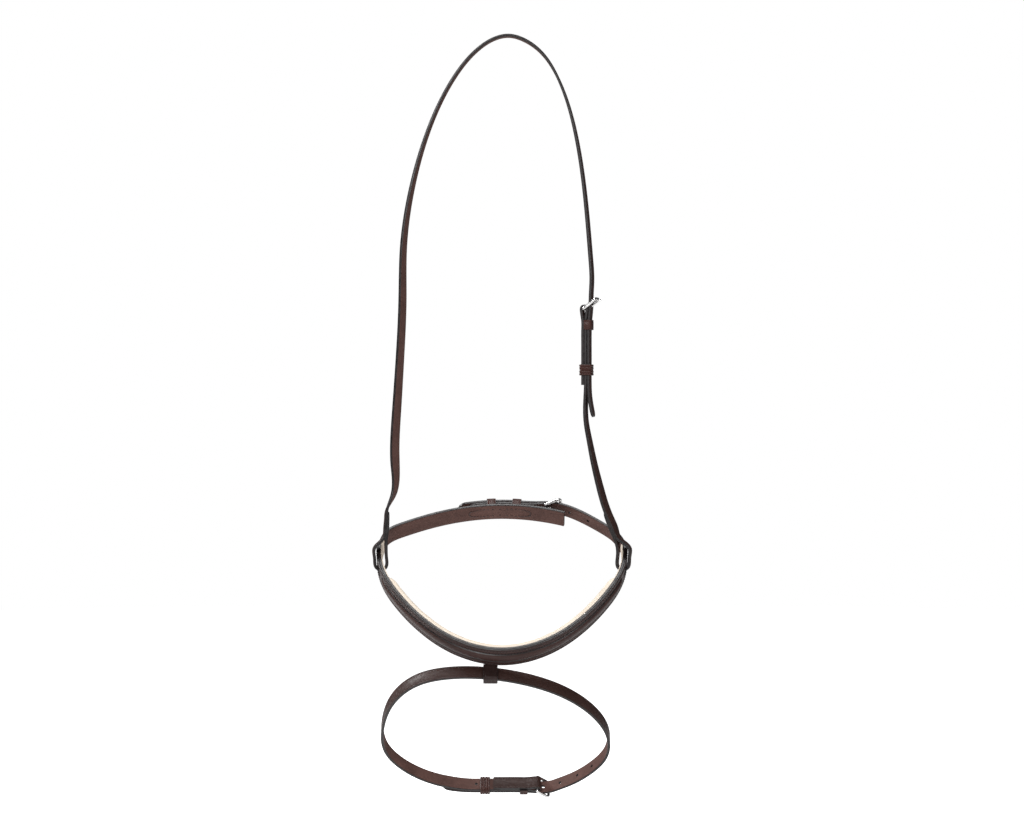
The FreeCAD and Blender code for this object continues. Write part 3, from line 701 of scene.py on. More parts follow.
def flesh_leather(name, colour):
    """Inner side of the strap: dyed flesh with short fibres, matt and slightly uneven."""
    m, n = material(name, colour, 0.7, 0.12)
    cloud = n.noise(55, 5, 0.6)
    nap = n.noise(1500, 5, 0.7, distortion=0.6)
    streak = n.noise(500, 4, 0.65, where=n.scaled((0.5, 1.0, 1.6)), distortion=1.0)
    base = n.ramp(cloud, [(0.3, shade(colour, 0.72)), (0.55, colour), (0.8, shade(colour, 1.28))])
    base = n.mix(n.span(nap, 0.45, 0.65, 0.0, 0.38), base, shade(colour, 0.5))
    base = n.mix(n.span(streak, 0.52, 0.7, 0.0, 0.3), base, shade(colour, 1.6))
    rough = n.span(nap, 0.3, 0.7, 0.58, 0.82)
    normal = n.bump(nap, 0.00016, 0.6, n.bump(streak, 0.0002, 0.45))
    n.finish(Base_Color=base, Roughness=rough, Normal=normal)
    return m


def lining_leather(name, colour):
    """Soft cream lining leather with a pebbled grain and faint handling marks."""
    m, n = material(name, colour, 0.6, 0.2)
    cloud = n.noise(45, 5, 0.6)
    pebble = n.cells(900, "SMOOTH_F1")
    crease = n.cells(520, "DISTANCE_TO_EDGE")
    base = n.ramp(cloud, [(0.3, shade(colour, 0.9)), (0.55, colour), (0.8, shade(colour, 1.05))])
    base = n.mix(n.span(crease, 0.0, 0.1, 0.3, 0.0), base, (0.62, 0.47, 0.34))
    rough = n.span(n.noise(400, 3, 0.6), 0.3, 0.7, 0.45, 0.65)
    normal = n.bump(pebble, 0.00012, 0.4, n.bump(n.noise(120, 3, 0.5), 0.0008, 0.3))
    n.finish(Base_Color=base, Roughness=rough, Normal=normal)
    return m


def polished_steel(name):
    m, n = material(name, (0.72, 0.71, 0.70), 0.16, metallic=1.0)
    smear = n.noise(120, 4, 0.6)
    scratch = n.noise(700, 5, 0.7, where=n.scaled((1.0, 0.12, 1.0)), distortion=0.4)
    base = n.ramp(smear, [(0.3, (0.56, 0.55, 0.55)), (0.6, (0.76, 0.75, 0.74)),
                          (0.8, (0.82, 0.8, 0.77))])
    rough = n.span(n.math("ADD", n.math("MULTIPLY", smear, 0.5), n.math("MULTIPLY", scratch, 0.5)),
                   0.35, 0.7, 0.08, 0.3)
    n.finish(Base_Color=base, Roughness=rough, Normal=n.bump(scratch, 0.00003, 0.35))
    return m


def waxed_thread(name, colour):
    m, n = material(name, colour, 0.5, 0.4, sheen=0.1)
    twist = n.put("ShaderNodeTexWave", {"Scale": 1100.0, "Distortion": 2.0, "Detail": 2.0},
                  {"Vector": n.place}).outputs["Fac"]
    base = n.ramp(twist, [(0.2, shade(colour, 0.55)), (0.6, colour), (0.9, shade(colour, 1.5))])
    n.finish(Base_Color=base, Normal=n.bump(twist, 0.00008, 0.6))
    return m


BRIDLE = grain_leather("bridle_leather", (0.034, 0.0155, 0.0125))
NOSE = grain_leather("noseband_leather", (0.037, 0.0168, 0.014), roughness=0.34, grain=0.8)
KEEPER = grain_leather("keeper_leather", (0.046, 0.0165, 0.0125), roughness=0.34, grain=0.8)
EDGES = edge_leather("burnished_edge", (0.0095, 0.0068, 0.0068))
INNER = flesh_leather("flesh_side", (0.083, 0.043, 0.036))
CREAM = lining_leather("cream_leather", (0.58, 0.51, 0.43))
STEEL = polished_steel("polished_steel")
THREAD = waxed_thread("waxed_thread", (0.030, 0.0105, 0.0085))
# the loop's leather is the bridle leather darkened as painted shade, for its face that hangs down
# in shade
LOOP_PAINTED_SHADE = grain_leather("loop_leather_painted_shade", (0.020, 0.0095, 0.0082), roughness=0.4)
LEATHER = [BRIDLE, EDGES, INNER]
KEEPER_SKIN = [KEEPER, EDGES, INNER]
LOOP_PAINTED_SHADE_SKIN = [LOOP_PAINTED_SHADE, EDGES, INNER]

# ================= planes and depths =================
rear_half = [(-x, y) for x, y in RING_HALF[-2:0:-1]]
ring = Curve(RING_HALF + rear_half, periodic=True)
ring_plane = Plane(RING_ORIGIN, (1, 0, 0), (0, math.cos(RING_TILT), math.sin(RING_TILT)))
flash_plane = Plane(FLASH_ORIGIN, (1, 0, 0), (0, math.cos(FLASH_TILT), -math.sin(FLASH_TILT)))
cheek_turn = math.radians(CHEEK_TWIST)
cheek_plane = Plane(CHEEK_BAR, (0, 0, 1), (math.cos(cheek_turn), -math.sin(cheek_turn), 0))

slot_at = ring.near(RING_HALF[5][0], SLOT_S)
NOSE_END = slot_at + 30.0
PAD_END = slot_at - 22.0
BEAD_END = slot_at - 15.0
LINING_LEFT_END = slot_at + 40.0
D_BACKING = -NOSE_LEATHER_T
D_LINING = D_BACKING - BACKING_T
pivot_x = ring.at(slot_at)[0] - (NOSE_LEATHER_T + BACKING_T + LINING_T) / 2
hang = ring_plane.out((0, SLOT_S, SLOT_N))


def slot_cutters():
    """Stadium windows that the hanger loops pass through."""
    centres = [ring_plane.out((side * RING_HALF[5][0], SLOT_S, SLOT_N)) for side in (-1, 1)]
    return [tube(centre, ring_plane.x, SLOT_R, 12, side=ring_plane.y, stretch=1.6, count=28)
            for centre in centres]


# ================= nosepiece =================
def nose_half(s):
    """Half width of the nosepiece leather: slimmer past the bead, rounded at its ends."""
    place = abs(s - NOSE_END)
    slim = NOSE_W / 2 - 0.9 * float(np.clip((place - PAD_END) / 25.0, 0, 1))
    return slim * round_off(NOSE_END - place, 9.0, depth=0.72, least=0.05)


def nose_section(s):
    """Nosepiece: rolled edges, two stitch channels, and a crowned bead between grooves."""
    half = nose_half(s)
    bead = float(np.clip((BEAD_END - abs(s - NOSE_END)) / BEAD_FADE, 0, 1)) ** 0.5
    fit = min(1.0, (half - ROLL) / (NOSE_W / 2 - ROLL))
    right = [(a * fit, h * (bead if a < BEAD_EDGE else 1.0)) for a, h in NOSE_PROFILE]
    right += [(half - 0.8, 0.0), (half - 0.35, -0.12), (half - 0.05, -0.45), (half, -0.85),
              (half - 0.1, D_BACKING), (half * 0.5, D_BACKING), (0, D_BACKING)]
    strip = [GRAIN] * 4 + [EDGE] * 3 + [GRAIN] * 2 + [EDGE] * 2 + [GRAIN] * 2 + [EDGE] * 3
    return mirrored(right, strip + [FLESH] * 2)


nose_line = plane_line(ring_plane, ring, -NOSE_END, NOSE_END, step=1.6)
nose = swept("nosepiece_face", nose_line, nose_section, "noseband", [NOSE, EDGES, INNER],
             ["nosepiece_leather", "nosepiece_bead_core"], smooth=62)
cut(nose, slot_cutters())
nose_long = 2 * NOSE_END
bead_from = NOSE_END - BEAD_END + 3
nose_rows = [seam(nose_line, 6, nose_long - 6, a, 0.0, slant=0.12)
             for a in (-NOSE_SEAM, NOSE_SEAM)]
nose_rows += [seam(nose_line, bead_from, nose_long - bead_from, a, -0.6)
              for a in (-BEAD_SEAM, BEAD_SEAM)]
stitches("nosepiece_stitching", nose_rows, "noseband")

backing_section = strap_section(NOSE_W / 2, D_LINING, D_BACKING - 0.04, radius=0.6)
swept("nosepiece_backing_edge", plane_line(ring_plane, ring, -PAD_END, PAD_END),
      backing_section, "noseband", LEATHER, ["nosepiece_backing"])


# ================= cream pad and lining =================
def cushion_section(s):
    """Stuffed lining: crowned towards the nose, pulled in at its stitched edges."""
    rest = float(np.clip(min(s, 2 * PAD_END - s) / 14.0, 0, 1))
    swell = math.sqrt(rest * (2 - rest))
    half = NOSE_W / 2 - 0.45 - 1.2 * (1 - swell)
    ripple = 0.22 * noise.noise(Vector((s * 0.06, 1.7, 0.3))) + 0.12 * math.sin(s * 0.31)
    depth = 0.9 + (PAD_T - 1.1 + ripple) * swell
    top = D_LINING - 0.02
    right = [(0, top), (half * 0.6, top), (half - 0.5, top), (half, top - 0.25),
             (half - 0.05, top - 0.55)]
    for x in (0.04, 0.12, 0.22, 0.34, 0.46, 0.58, 0.7, 0.8, 0.88, 0.94, 0.975, 0.995, 1.0):
        a = (half - 0.1) * math.cos(x * math.pi / 2) ** 0.3 if x < 1 else 0.0
        right.append((a, top - 0.6 - (depth - 0.6) * math.sin(x * math.pi / 2) ** 0.95))
    return mirrored(right, [GRAIN] * (len(right) - 1))


verts, faces, zones = sweep(plane_line(ring_plane, ring, -PAD_END, PAD_END, step=1.8),
                            cushion_section)
for i, v in enumerate(verts):
    uneven = noise.noise(Vector(v) * 0.11) * 0.16 + noise.noise(Vector(v) * 0.35) * 0.06
    verts[i] = v + ring_plane.z * uneven
pad = make("nosepiece_cushion", verts, faces, "noseband", [CREAM], None,
           ["nosepiece_pad", "nosepiece_lining"], smooth=75)

lining_half = rounded(LINING_LEFT_END + NOSE_END, REAR_W / 2, 7.0)
lining = swept("hanger_lining", plane_line(ring_plane, ring, -LINING_LEFT_END, NOSE_END),
               strap_section(lining_half, D_LINING - LINING_T, D_LINING - 0.05, radius=0.4),
               "noseband", [CREAM, CREAM, CREAM])
cut(lining, slot_cutters())

# ================= rear strap =================
rear_line = plane_line(ring_plane, ring, ring.near(*REAR_END), ring.length - PAD_END)
rear = swept("rear_strap_leather", rear_line,
             strap_section(REAR_W / 2, D_LINING, D_BACKING - 0.02, [crease(REAR_W / 2 - 2.0)], 0.6),
             "noseband", LEATHER, ["rear_strap"])
cut(rear, slot_cutters())


# ================= buckles =================
def leaning(angle):
    """Directions along and out of something that leans up from its strap at an angle."""
    return (np.array((math.cos(angle), math.sin(angle), 0)),
            np.array((-math.sin(angle), math.cos(angle), 0)))


def round_bar(ply, last):
    """Points of a ply's middle round a bar, from an angle below it to one above it."""
    r = WIRE_R + BAR_PLAY + ply / 2
    return [(r * math.cos(a), r * math.sin(a)) for a in np.radians((-last, -60, -20, 20, 60, last))]


class Buckle:
    """Plane and sizes of one buckle: x from the bar to the crossbar, y outward."""

    def __init__(self, plane, width, ply, reach, angle):
        self.plane = plane
        self.reach = reach
        self.angle = math.radians(angle)
        self.wrap_r = WIRE_R + BAR_PLAY + ply
        self.side = width / 2 + 0.6 + WIRE_R
        self.tongue_angle = self.angle + math.asin((WIRE_R + TONGUE_R + 0.25) / reach)
        self.billet_y = self.wrap_r + LAYER_GAP + STRAP_T / 2

    def frame(self, name, body, node):
        """Rounded rectangular wire loop with a slimmer, flattened crossbar."""
        run, out = leaning(self.angle)
        across = np.array((0, 0, 1.0))
        near, far = (0.0, BAR_CORNER), (self.reach, CROSSBAR_CORNER)
        path = []
        for (x, r), side, begin in ((near, -1, 180), (far, -1, 270), (far, 1, 0), (near, 1, 90)):
            middle = (x + r if x == 0 else x - r, side * (self.side - r))
            path += quarter(middle, r, begin, 7)
        path = densely(path, 1.2)
        verts = []
        sides = 14
        for p, d in zip(path, directions(path)):
            centre = run * p[0] + across * p[1]
            normal = unit(np.cross(out, run * d[0] + across * d[1]))
            share = np.clip((p[0] - self.reach + 3) / 3, 0, 1)
            thick, flat = WIRE_R * (1 + 0.06 * share), WIRE_R * (1 - 0.12 * share)
            for a in np.linspace(0, 2 * math.pi, sides, endpoint=False):
                verts.append(self.plane.out(centre + normal * thick * math.cos(a)
                                            + out * flat * math.sin(a)))
        faces = tube_faces(len(path), sides, closed=True)
        outward_faces(make(name, verts, faces, body, [STEEL], None, [node], smooth=70))

    def tongue(self, name, body, node):
        """Eye rolled round the bar, and a prong that tapers and dips onto the crossbar."""
        run, out = leaning(self.tongue_angle)
        across = np.array((0, 0, 1.0))
        eye = WIRE_R + BAR_PLAY + TONGUE_R * 0.55
        path, radii = [], []
        for a in np.radians(np.linspace(-200, 62, 22)):
            path.append(run * eye * math.cos(a + 0.2) + out * eye * math.sin(a + 0.2))
            radii.append((1.15, 0.55))
        last = path[-1]
        for x in np.linspace(0.2, 1, 14):
            along = 1.0 + (self.reach + 3.0 - 1.0) * x
            level = (last @ out) * (1 - x) ** 2 + 0.25 * math.sin(x * math.pi)
            path.append(run * along + out * level)
            radii.append((1.1 - 0.25 * x, 0.9 - 0.15 * x))
        path += [path[-1] + run * 0.6, path[-1] + run * 0.9]
        radii += [(0.62, 0.55), (0.25, 0.2)]
        path = np.array(path)
        verts = []
        sides = 12
        for p, d, (wide, high) in zip(path, directions(path, closed=False), radii):
            normal = np.cross(across, d)
            for a in np.linspace(0, 2 * math.pi, sides, endpoint=False):
                verts.append(self.plane.out(p + across * (TONGUE_R * wide) * math.cos(a)
                                            + normal * (TONGUE_R * high) * math.sin(a)))
        faces = tube_faces(len(path), sides)
        outward_faces(make(name, verts, faces, body, [STEEL], None, [node], smooth=70))

    def slit(self, low, far, above):
        """Cutter of the slit in the turned leather that the tongue comes through."""
        return brick(self.plane, (-5.0, low, -SLIT_HALF), (far, self.wrap_r + above, SLIT_HALF))

    def billet_slot(self):
        """The hole that the tongue has pulled long."""
        slope = math.tan(self.tongue_angle)
        half = TONGUE_R / math.sin(self.tongue_angle) + STRAP_T / 2 / slope + 1.3
        centre = self.plane.out((self.billet_y / slope, self.billet_y, 0))
        r = TONGUE_R + 0.4
        return tube(centre, self.plane.y, r, 5, side=self.plane.x, stretch=half - r, count=24)


# ================= rear buckle and chape =================
bar_at = ring.near(*REAR_BAR)
bar_d = D_BACKING + WIRE_R + BAR_PLAY + CHAPE_T + 0.1


def on_ring(place, distance=0.0):
    """Plane on the noseband ring that looks back along it."""
    return ring_plane.inner((*ring.at(place, distance), 0), (*-ring.direction(place), 0),
                            (*ring.outward(place), 0))


rear_plane = on_ring(bar_at, bar_d)
rear_buckle = Buckle(rear_plane, BILLET_W, CHAPE_T, reach=17.0, angle=38.0)
chape_top = D_BACKING + 2 * CHAPE_T


def chape_ply(d):
    """Middle of one ply of the chape in the buckle's plane, from its end to the bar."""
    points = [ring_plane.out(ring.at(bar_at + x, d)) - rear_plane.origin
              for x in np.arange(CHAPE_LONG, 8.0, -8.0)]
    return [(float(p @ rear_plane.x), float(p @ rear_plane.y)) for p in points]


chape_curve = Curve(chape_ply(D_BACKING + CHAPE_T / 2) + round_bar(CHAPE_T, 100)
                    + chape_ply(D_BACKING + CHAPE_T * 1.5)[::-1])
chape_section = strap_section(rounded(chape_curve.length, BILLET_W / 2, 8.0), -CHAPE_T / 2,
                              CHAPE_T / 2, [crease(6.1, 0.15, 0.4)], 0.5)
chape = swept("rear_chape_leather",
              plane_line(rear_plane, chape_curve, 0, chape_curve.length, step=1.6),
              chape_section, "noseband", LEATHER, ["rear_chape"])
cut(chape, [rear_buckle.slit(-40, 30, 0.4)])
rear_buckle.frame("rear_buckle_wire", "rear_buckle", "rear_buckle_frame")
rear_buckle.tongue("rear_buckle_prong", "rear_tongue", "rear_buckle_tongue")


def oval_row(face, sign):
    """Oval of stitches that holds the chape on the wide strap, on one of the two faces."""
    row = []
    for a in 2 * math.pi * np.arange(OVAL_STITCHES) / OVAL_STITCHES:
        waist = 1 - 0.22 * math.exp(-((math.cos(a) * OVAL_HALF) / 9.0) ** 2)
        s = bar_at + OVAL_MIDDLE + OVAL_HALF * math.copysign(abs(math.cos(a)) ** 0.75, math.cos(a))
        z = 5.6 * waist * math.copysign(abs(math.sin(a)) ** 0.55, math.sin(a))
        along = ring_plane.turn((*ring.direction(s), 0))
        if abs(math.cos(a)) > 0.93:
            along = unit(along * 0.5 + ring_plane.z)
        up = ring_plane.turn((*(ring.outward(s) * sign), 0))
        row.append((ring_plane.out((*ring.at(s, face), z)), unit(along), up))
    return row


stitches("rear_oval_stitching", [oval_row(D_LINING - 0.05, -1), oval_row(chape_top + 0.02, 1)],
         "noseband", radius=0.5)

# ================= rear billet =================
billet_d = chape_top + LAYER_GAP + STRAP_T / 2 + 0.1
side_d = (D_LINING + D_BACKING) / 2
over = [tuple(ring.at(bar_at + x, billet_d)) for x in (88, 74, 60, 46, 32, 20)]
hump = [tuple(ring.at(bar_at + 10, billet_d + 1.1)),
        tuple(ring.at(bar_at, bar_d + rear_buckle.billet_y))]
inside = [tuple(ring.at(slot_at + x, side_d)) for x in (28, 15, 4, -8, -22)]
billet_curve = Curve(over + hump + BILLET_FREE + inside)


def billet_half(s):
    rear = float(billet_curve.at(s)[1])
    wide = BILLET_W / 2 + (REAR_W - BILLET_W) / 2 * float(np.clip((44 - rear) / 14.0, 0, 1))
    return wide * round_off(s, 9.0)


billet = swept("rear_billet_leather",
               plane_line(ring_plane, billet_curve, 0, billet_curve.length).flipped(),
               strap_section(billet_half, -STRAP_T / 2, STRAP_T / 2, [crease(6.3)]),
               "noseband", LEATHER, ["rear_billet"])
used = billet_curve.near(*ring.at(bar_at - 3, bar_d + rear_buckle.billet_y))
holes = punched(ring_plane, billet_curve, [used + HOLE_PITCH * k for k in (-2, -1, 1, 2)], 6)
cut(billet, holes + slot_cutters() + [rear_buckle.billet_slot()])


# ================= keepers =================
def keeper(name, plane, x, width, low, high, gap, length, body, node, closed=True, ridges=0,
           skin=None):
    """Band of thin leather round a stack of straps; plane x runs along the straps."""
    half = width / 2 + gap + KEEPER_T / 2
    top = high + gap + KEEPER_T / 2
    bottom = low - gap - KEEPER_T / 2 if closed else low - 0.1
    corners = ((-half, bottom, 180), (half, bottom, 270), (half, top, 0), (-half, top, 90))
    path = []
    for z, y, begin in corners if closed else corners[2:]:
        r = KEEPER_CORNER
        middle = (z - math.copysign(r, z), y + r if y == bottom else y - r)
        path += quarter(middle, r, begin, 6)
    if not closed:
        foot = bottom + 0.2
        path = [(half, foot)] + path + [(-half, foot)]
    step = 1.3
    path = densely(path, step, closed)
    d = directions(path, closed)
    centre = np.array([plane.out((x, y, z)) for z, y in path])
    up = np.array([plane.turn((0, -dz, dy)) for dz, dy in d])
    across = np.broadcast_to(plane.x, centre.shape)
    line = Line(centre, across, up, np.arange(len(centre)) * step)
    creases = [crease(length / 2 - 1.3, 0.22, 0.35)]
    if ridges:
        wide = (length / 2 - 0.6) / ridges
        creases = [(wide * (k + 0.5), wide * 0.4, 0.2 if k % 2 else -0.5) for k in range(ridges)]
    section = strap_section(length / 2, -KEEPER_T / 2, KEEPER_T / 2, creases, 0.5)
    verts, faces, zones = sweep(line, section, closed=closed)
    outward_faces(make(name, verts, faces, body, skin or KEEPER_SKIN, zones,
                       [node], smooth=50))


for node, place in REAR_KEEPERS:
    keeper(node + "_band", on_ring(bar_at + place), 0, BILLET_W, D_BACKING,
           billet_d + STRAP_T / 2, LAYER_GAP, 9.0, "noseband", node, closed=False)

# ================= flash strap =================
bar_x, bar_s = FLASH_BAR
flash_local = flash_plane.inner((bar_x, bar_s, 0), (1, 0, 0), (0, 1, 0))
flash_buckle = Buckle(flash_local, FLASH_W, STRAP_T, reach=16.0, angle=42.0)
main_s = bar_s + STRAP_T / 2
stack_s = bar_s + STRAP_T + LAYER_GAP + STRAP_T / 2
over_bar = bar_s + flash_buckle.billet_y
turned = [(x, bar_s - STRAP_T / 2) for x in (-15.5, -9, -2, 5, 12, 19)]
wrap = [(bar_x + x, bar_s + y) for x, y in round_bar(STRAP_T, 105)]
upper = [(x, main_s) for x in (19, 12, 5, -8, -18, -28, -38)]
rise = [(40, over_bar), (29, over_bar), (18, stack_s + 0.5)]
tail = [(x, stack_s) for x in (8, -2, -14, -26, -38)] + [(-53, stack_s - 1.6), (-68, 182.8)]
flash_curve = Curve(turned + wrap + upper + FLASH_ROUTE + rise + tail)
flash_long = flash_curve.length
flash_half = rounded(flash_long, FLASH_W / 2, FLASH_W / 2, at_begin=False)
flash = swept("flash_strap_leather", plane_line(flash_plane, flash_curve, 0, flash_long),
              skived_section(flash_half, skived(flash_long, at_begin=8.0), FLASH_SEAM,
                             keep="high"),
              "flash", LEATHER, ["flash_strap"])
used = flash_curve.near(bar_x + 4, over_bar)
places = [used - HOLE_PITCH * k for k in (-4, -3, -2, 1, 2, 3)]
cut(flash, punched(flash_plane, flash_curve, places, 5)
    + [flash_buckle.billet_slot(), flash_buckle.slit(-8, 12, 0.05)])
flash_buckle.frame("flash_buckle_wire", "flash_buckle", "flash_buckle_frame")
flash_buckle.tongue("flash_buckle_prong", "flash_tongue", "flash_buckle_tongue")
ply_line = plane_line(flash_plane, flash_curve, 0, flash_curve.near(bar_x - 9, bar_s - 1.4))
stitches("flash_ply_stitching",
         [seam(ply_line, 1, ply_line.s[-1], a, STRAP_T / 2) for a in (-FLASH_SEAM, FLASH_SEAM)],
         "flash")
strap_stack = STRAP_T * 2 + LAYER_GAP
keeper("flash_fixed_band", flash_local, FLASH_FIXED_AT, FLASH_W, 0, strap_stack + 1.4, LAYER_GAP,
       8.0, "flash", "flash_fixed_keeper", closed=False)
keeper("flash_running_band", flash_local, FLASH_SLIDER_AT, FLASH_W, 0, strap_stack, SLIDER_GAP,
       10.0, "flash_slider", "flash_running_keeper", ridges=SLIDER_RIDGES)

# ---- loop that carries the flash strap on the nosepiece, with its tab behind the face
loop_plane = flash_plane.inner((*LOOP_AT, 0), (1, 0, 0), (0, 1, 0))
# the loop wears the darkened leather: painted shade
keeper("flash_loop_band", loop_plane, 0, FLASH_W, -LOOP_ROOM, LOOP_ROOM, 0.8, LOOP_LONG,
       "noseband", "flash_attachment_loop", skin=LOOP_PAINTED_SHADE_SKIN)
tab_from = ring.near(LOOP_AT[0] - RING_ORIGIN[0], RING_HALF[0][1]) - LOOP_LONG / 2
tab_line = plane_line(ring_plane, ring, tab_from, tab_from + LOOP_LONG, step=1.0)
tab_low, tab_high = -NOSE_W / 2 - TAB_BELOW, -NOSE_W / 2 + TAB_UP
tab_back, tab_front = D_BACKING - KEEPER_T, D_BACKING - 0.06
tab_ring = [(tab_low, tab_back), (tab_high, tab_back), (tab_high, tab_front), (tab_low, tab_front)]
outward_faces(swept("flash_loop_tab", tab_line, lambda s: (tab_ring, [EDGE] * 4), "noseband",
                    LOOP_PAINTED_SHADE_SKIN))


# ================= hanger loops, at the lower ends of the headstrap and the cheekpiece ======
def hanger_points(side, lean, turn):
    """Middle of the strap: down the outer ply, round the bottom, and up the inner ply.

    Also gives the turn of the strap's face to the front at each point, in degrees.
    """
    x0, y0, z0 = RING_ORIGIN[0] + side * pivot_x, hang[1], hang[2]
    r = HANGER_GAP + STRAP_T / 2
    leg = side * LEG_SPREAD
    half_ply = STRAP_T / 2
    outer = [(x, side * half_ply, h, t) for x, h, t in lean[::-1]]
    outer += [(leg, side * r, HANGER_LEG, turn), (leg / 2, side * r, HANGER_LEG / 2 + 2, turn)]
    bottom = [(0, side * r * math.cos(a), r - r * math.sin(a), turn)
              for a in np.radians((0, 30, 60, 90, 120, 150, 180))]
    inner = [(leg / 2, -side * r, HANGER_LEG / 2 + 2, turn), (leg, -side * r, HANGER_LEG, turn)]
    inner += [(x, -side * half_ply, h, t) for x, h, t in lean]
    points = []
    for x, off, h, t in outer + bottom + inner:
        base, here = math.radians(turn), math.radians(t)
        points.append((x0 + x * math.cos(base) + off * math.cos(here),
                       y0 - side * (x * math.sin(base) + off * math.sin(here)), z0 + h))
    return points, [side * t for x, off, h, t in outer + bottom + inner]


def hanging_strap(points, turns, side, lean, turn):
    """Line of a strap that ends in a hanger loop, and its half width along the line.

    The strap is folded narrower where it goes through the noseband's slot.
    """
    loop, loop_turns = hanger_points(side, lean, turn)
    line, places = free_line(points + loop, turns + loop_turns)
    low_at = places[len(points) + loop.index(min(loop, key=lambda p: p[2]))]

    def half(s):
        open_share = float(np.clip((abs(s - low_at) - 17.0) / 15.0, 0, 1))
        wide = FOLDED_HALF + (HEAD_W / 2 - FOLDED_HALF) * open_share
        return wide * round_off(line.s[-1] - s, 5.0, depth=0.6)
    return line, half


def cheek_point(down, out):
    return tuple(cheek_plane.out((down, out, 0)))


# ================= headstrap =================
cheek_buckle = Buckle(cheek_plane, HEAD_W, STRAP_T, reach=15.6, angle=50.0)
head_points = [cheek_point(d, o) for d, o in CHEEK_BILLET] + [s[:3] for s in HEAD_STATIONS]
head_turns = [CHEEK_TWIST] * len(CHEEK_BILLET) + [abs(s[3]) for s in HEAD_STATIONS]
head_line, head_half = hanging_strap(head_points, head_turns, -1, LEFT_LEAN, LEFT_TURN)
head_line = head_line.flipped()
head = swept("headstrap_leather", head_line,
             skived_section(lambda s: head_half(s) * round_off(s, 6.5),
                            skived(head_line.s[-1], at_end=20.0), HEAD_CREASE),
             "headpiece", LEATHER, ["headstrap"])
holes = []
for k in (-4, -3, -2, -1, 1, 2, 3):
    level = CHEEK_BAR[2] + TONGUE_LEAD + HOLE_PITCH * k
    on_left = head_line.centre[:, 0] < 0
    s = head_line.s[np.argmin(np.abs(head_line.centre[:, 2] - level) + 1000 * on_left)]
    holes.append(tube(head_line.point(s, 0, 0), cheek_plane.y, HOLE_R, 6))
cut(head, holes + [cheek_buckle.billet_slot()])

# ================= cheekpiece =================
ply_places = (-76, -66, -55, -44, -33, -22, -12)
fold_points = [cheek_point(x, -STRAP_T / 2) for x in ply_places]
fold_points += [cheek_point(x, y) for x, y in round_bar(STRAP_T, 105)]
fold_points += [cheek_point(x, STRAP_T / 2) for x in ply_places[::-1]]
cheek_points = fold_points + [s[:3] for s in CHEEK_STATIONS]
cheek_turns = [CHEEK_TWIST] * len(fold_points) + [-s[3] for s in CHEEK_STATIONS]
cheek_line, cheek_half = hanging_strap(cheek_points, cheek_turns, 1, RIGHT_LEAN, RIGHT_TURN)
cheek = swept("cheekpiece_leather", cheek_line,
              skived_section(cheek_half, skived(cheek_line.s[-1], at_end=20.0), HEAD_CREASE),
              "headpiece", LEATHER, ["cheekpiece"])
cut(cheek, [cheek_buckle.slit(-8, 12, 0.05)])
cheek_buckle.frame("cheek_buckle_wire", "cheek_buckle", "cheek_buckle_frame")
cheek_buckle.tongue("cheek_buckle_prong", "cheek_tongue", "cheek_buckle_tongue")
keeper("cheek_fixed_band", cheek_plane, CHEEK_FIXED_AT, HEAD_W, 0, strap_stack + 0.4, LAYER_GAP,
       10.0, "headpiece", "cheek_fixed_keeper", closed=False)
keeper("cheek_running_band", cheek_plane, CHEEK_SLIDER_AT, HEAD_W, -STRAP_T, strap_stack,
       SLIDER_GAP, 11.0, "cheek_slider", "cheek_running_keeper", ridges=SLIDER_RIDGES)

# ================= camera, floor and light =================
scene = bpy.context.scene
scene.view_settings.view_transform = "Standard"
camera_data = bpy.data.cameras.new("camera")
camera_data.lens = 105.5
camera_data.sensor_width = 36.0
camera = bpy.data.objects.new("camera", camera_data)
bpy.context.collection.objects.link(camera)
camera.location = (0.0035, -3.0, -0.3722)
camera.rotation_euler = (math.radians(90), 0, 0)
scene.camera = camera

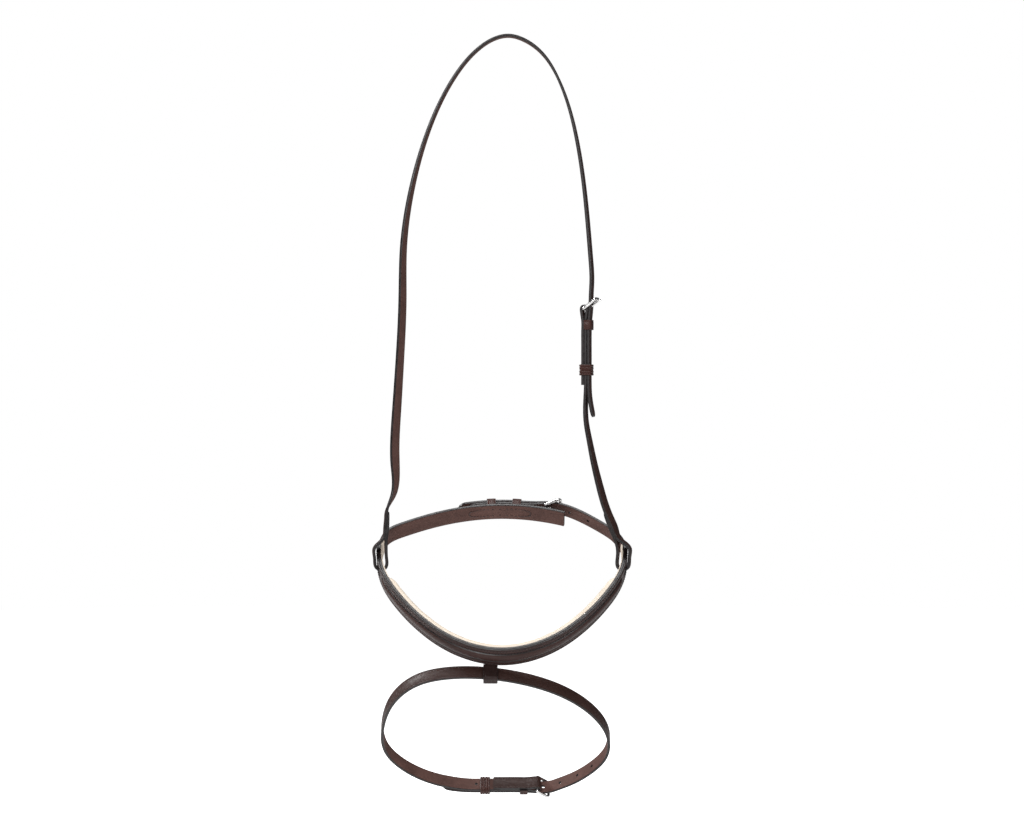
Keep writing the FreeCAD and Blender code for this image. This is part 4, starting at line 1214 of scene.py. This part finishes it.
FLOOR_GAP = 0.06         # metres below the part
floor_mesh = bpy.data.meshes.new("floor")
bm = bmesh.new()
bmesh.ops.create_circle(bm, cap_ends=True, radius=4.0, segments=64)
bm.to_mesh(floor_mesh)
bm.free()
floor = bpy.data.objects.new("floor", floor_mesh)
floor.location = (0, 0, cad_box[0][2] - FLOOR_GAP)
bpy.context.collection.objects.link(floor)
pale, pale_nodes = material("pale_floor", (0.8, 0.8, 0.8), 0.9, 0.1)
pale_nodes.shader.inputs["Emission Color"].default_value = (1, 1, 1, 1)
glow = pale_nodes.tree.nodes.new("ShaderNodeLightPath").outputs["Is Camera Ray"]
pale_nodes.finish(Emission_Strength=pale_nodes.span(glow, 0.0, 1.0, 0.06, 0.9))
floor_mesh.materials.append(pale)

world = bpy.data.worlds.new("studio")
scene.world = world
world.use_nodes = True
tree = world.node_tree
seen = tree.nodes["Background"]
seen.inputs["Color"].default_value = (1, 1, 1, 1)
seen.inputs["Strength"].default_value = 1.0
lit = tree.nodes.new("ShaderNodeBackground")
lit.inputs["Color"].default_value = (0.93, 0.96, 1, 1)
lit.inputs["Strength"].default_value = 0.07
ray = tree.nodes.new("ShaderNodeLightPath")
both = tree.nodes.new("ShaderNodeMixShader")
tree.links.new(ray.outputs["Is Camera Ray"], both.inputs[0])
tree.links.new(lit.outputs[0], both.inputs[1])
tree.links.new(seen.outputs[0], both.inputs[2])
tree.links.new(both.outputs[0], tree.nodes["World Output"].inputs["Surface"])


def softbox(name, place, aim, size, power):
    data = bpy.data.lights.new(name, "AREA")
    data.shape = "RECTANGLE"
    data.size, data.size_y = size
    data.energy = power
    o = bpy.data.objects.new(name, data)
    o.location = place
    o.rotation_euler = (Vector(aim) - Vector(place)).to_track_quat("-Z", "Y").to_euler()
    bpy.context.collection.objects.link(o)


middle = (0, 0, -0.42)
softbox("top_light", (0, -0.1, 1.5), middle, (1.2, 0.9), 38)
softbox("key_light", (-1.6, 0.5, 0.65), (0, 0, -0.65), (0.6, 0.5), 44)
softbox("front_light", (-0.8, -2.6, 0.6), middle, (0.9, 0.9), 46)
softbox("right_light", (1.9, -2.0, 0.4), middle, (0.6, 1.0), 26)
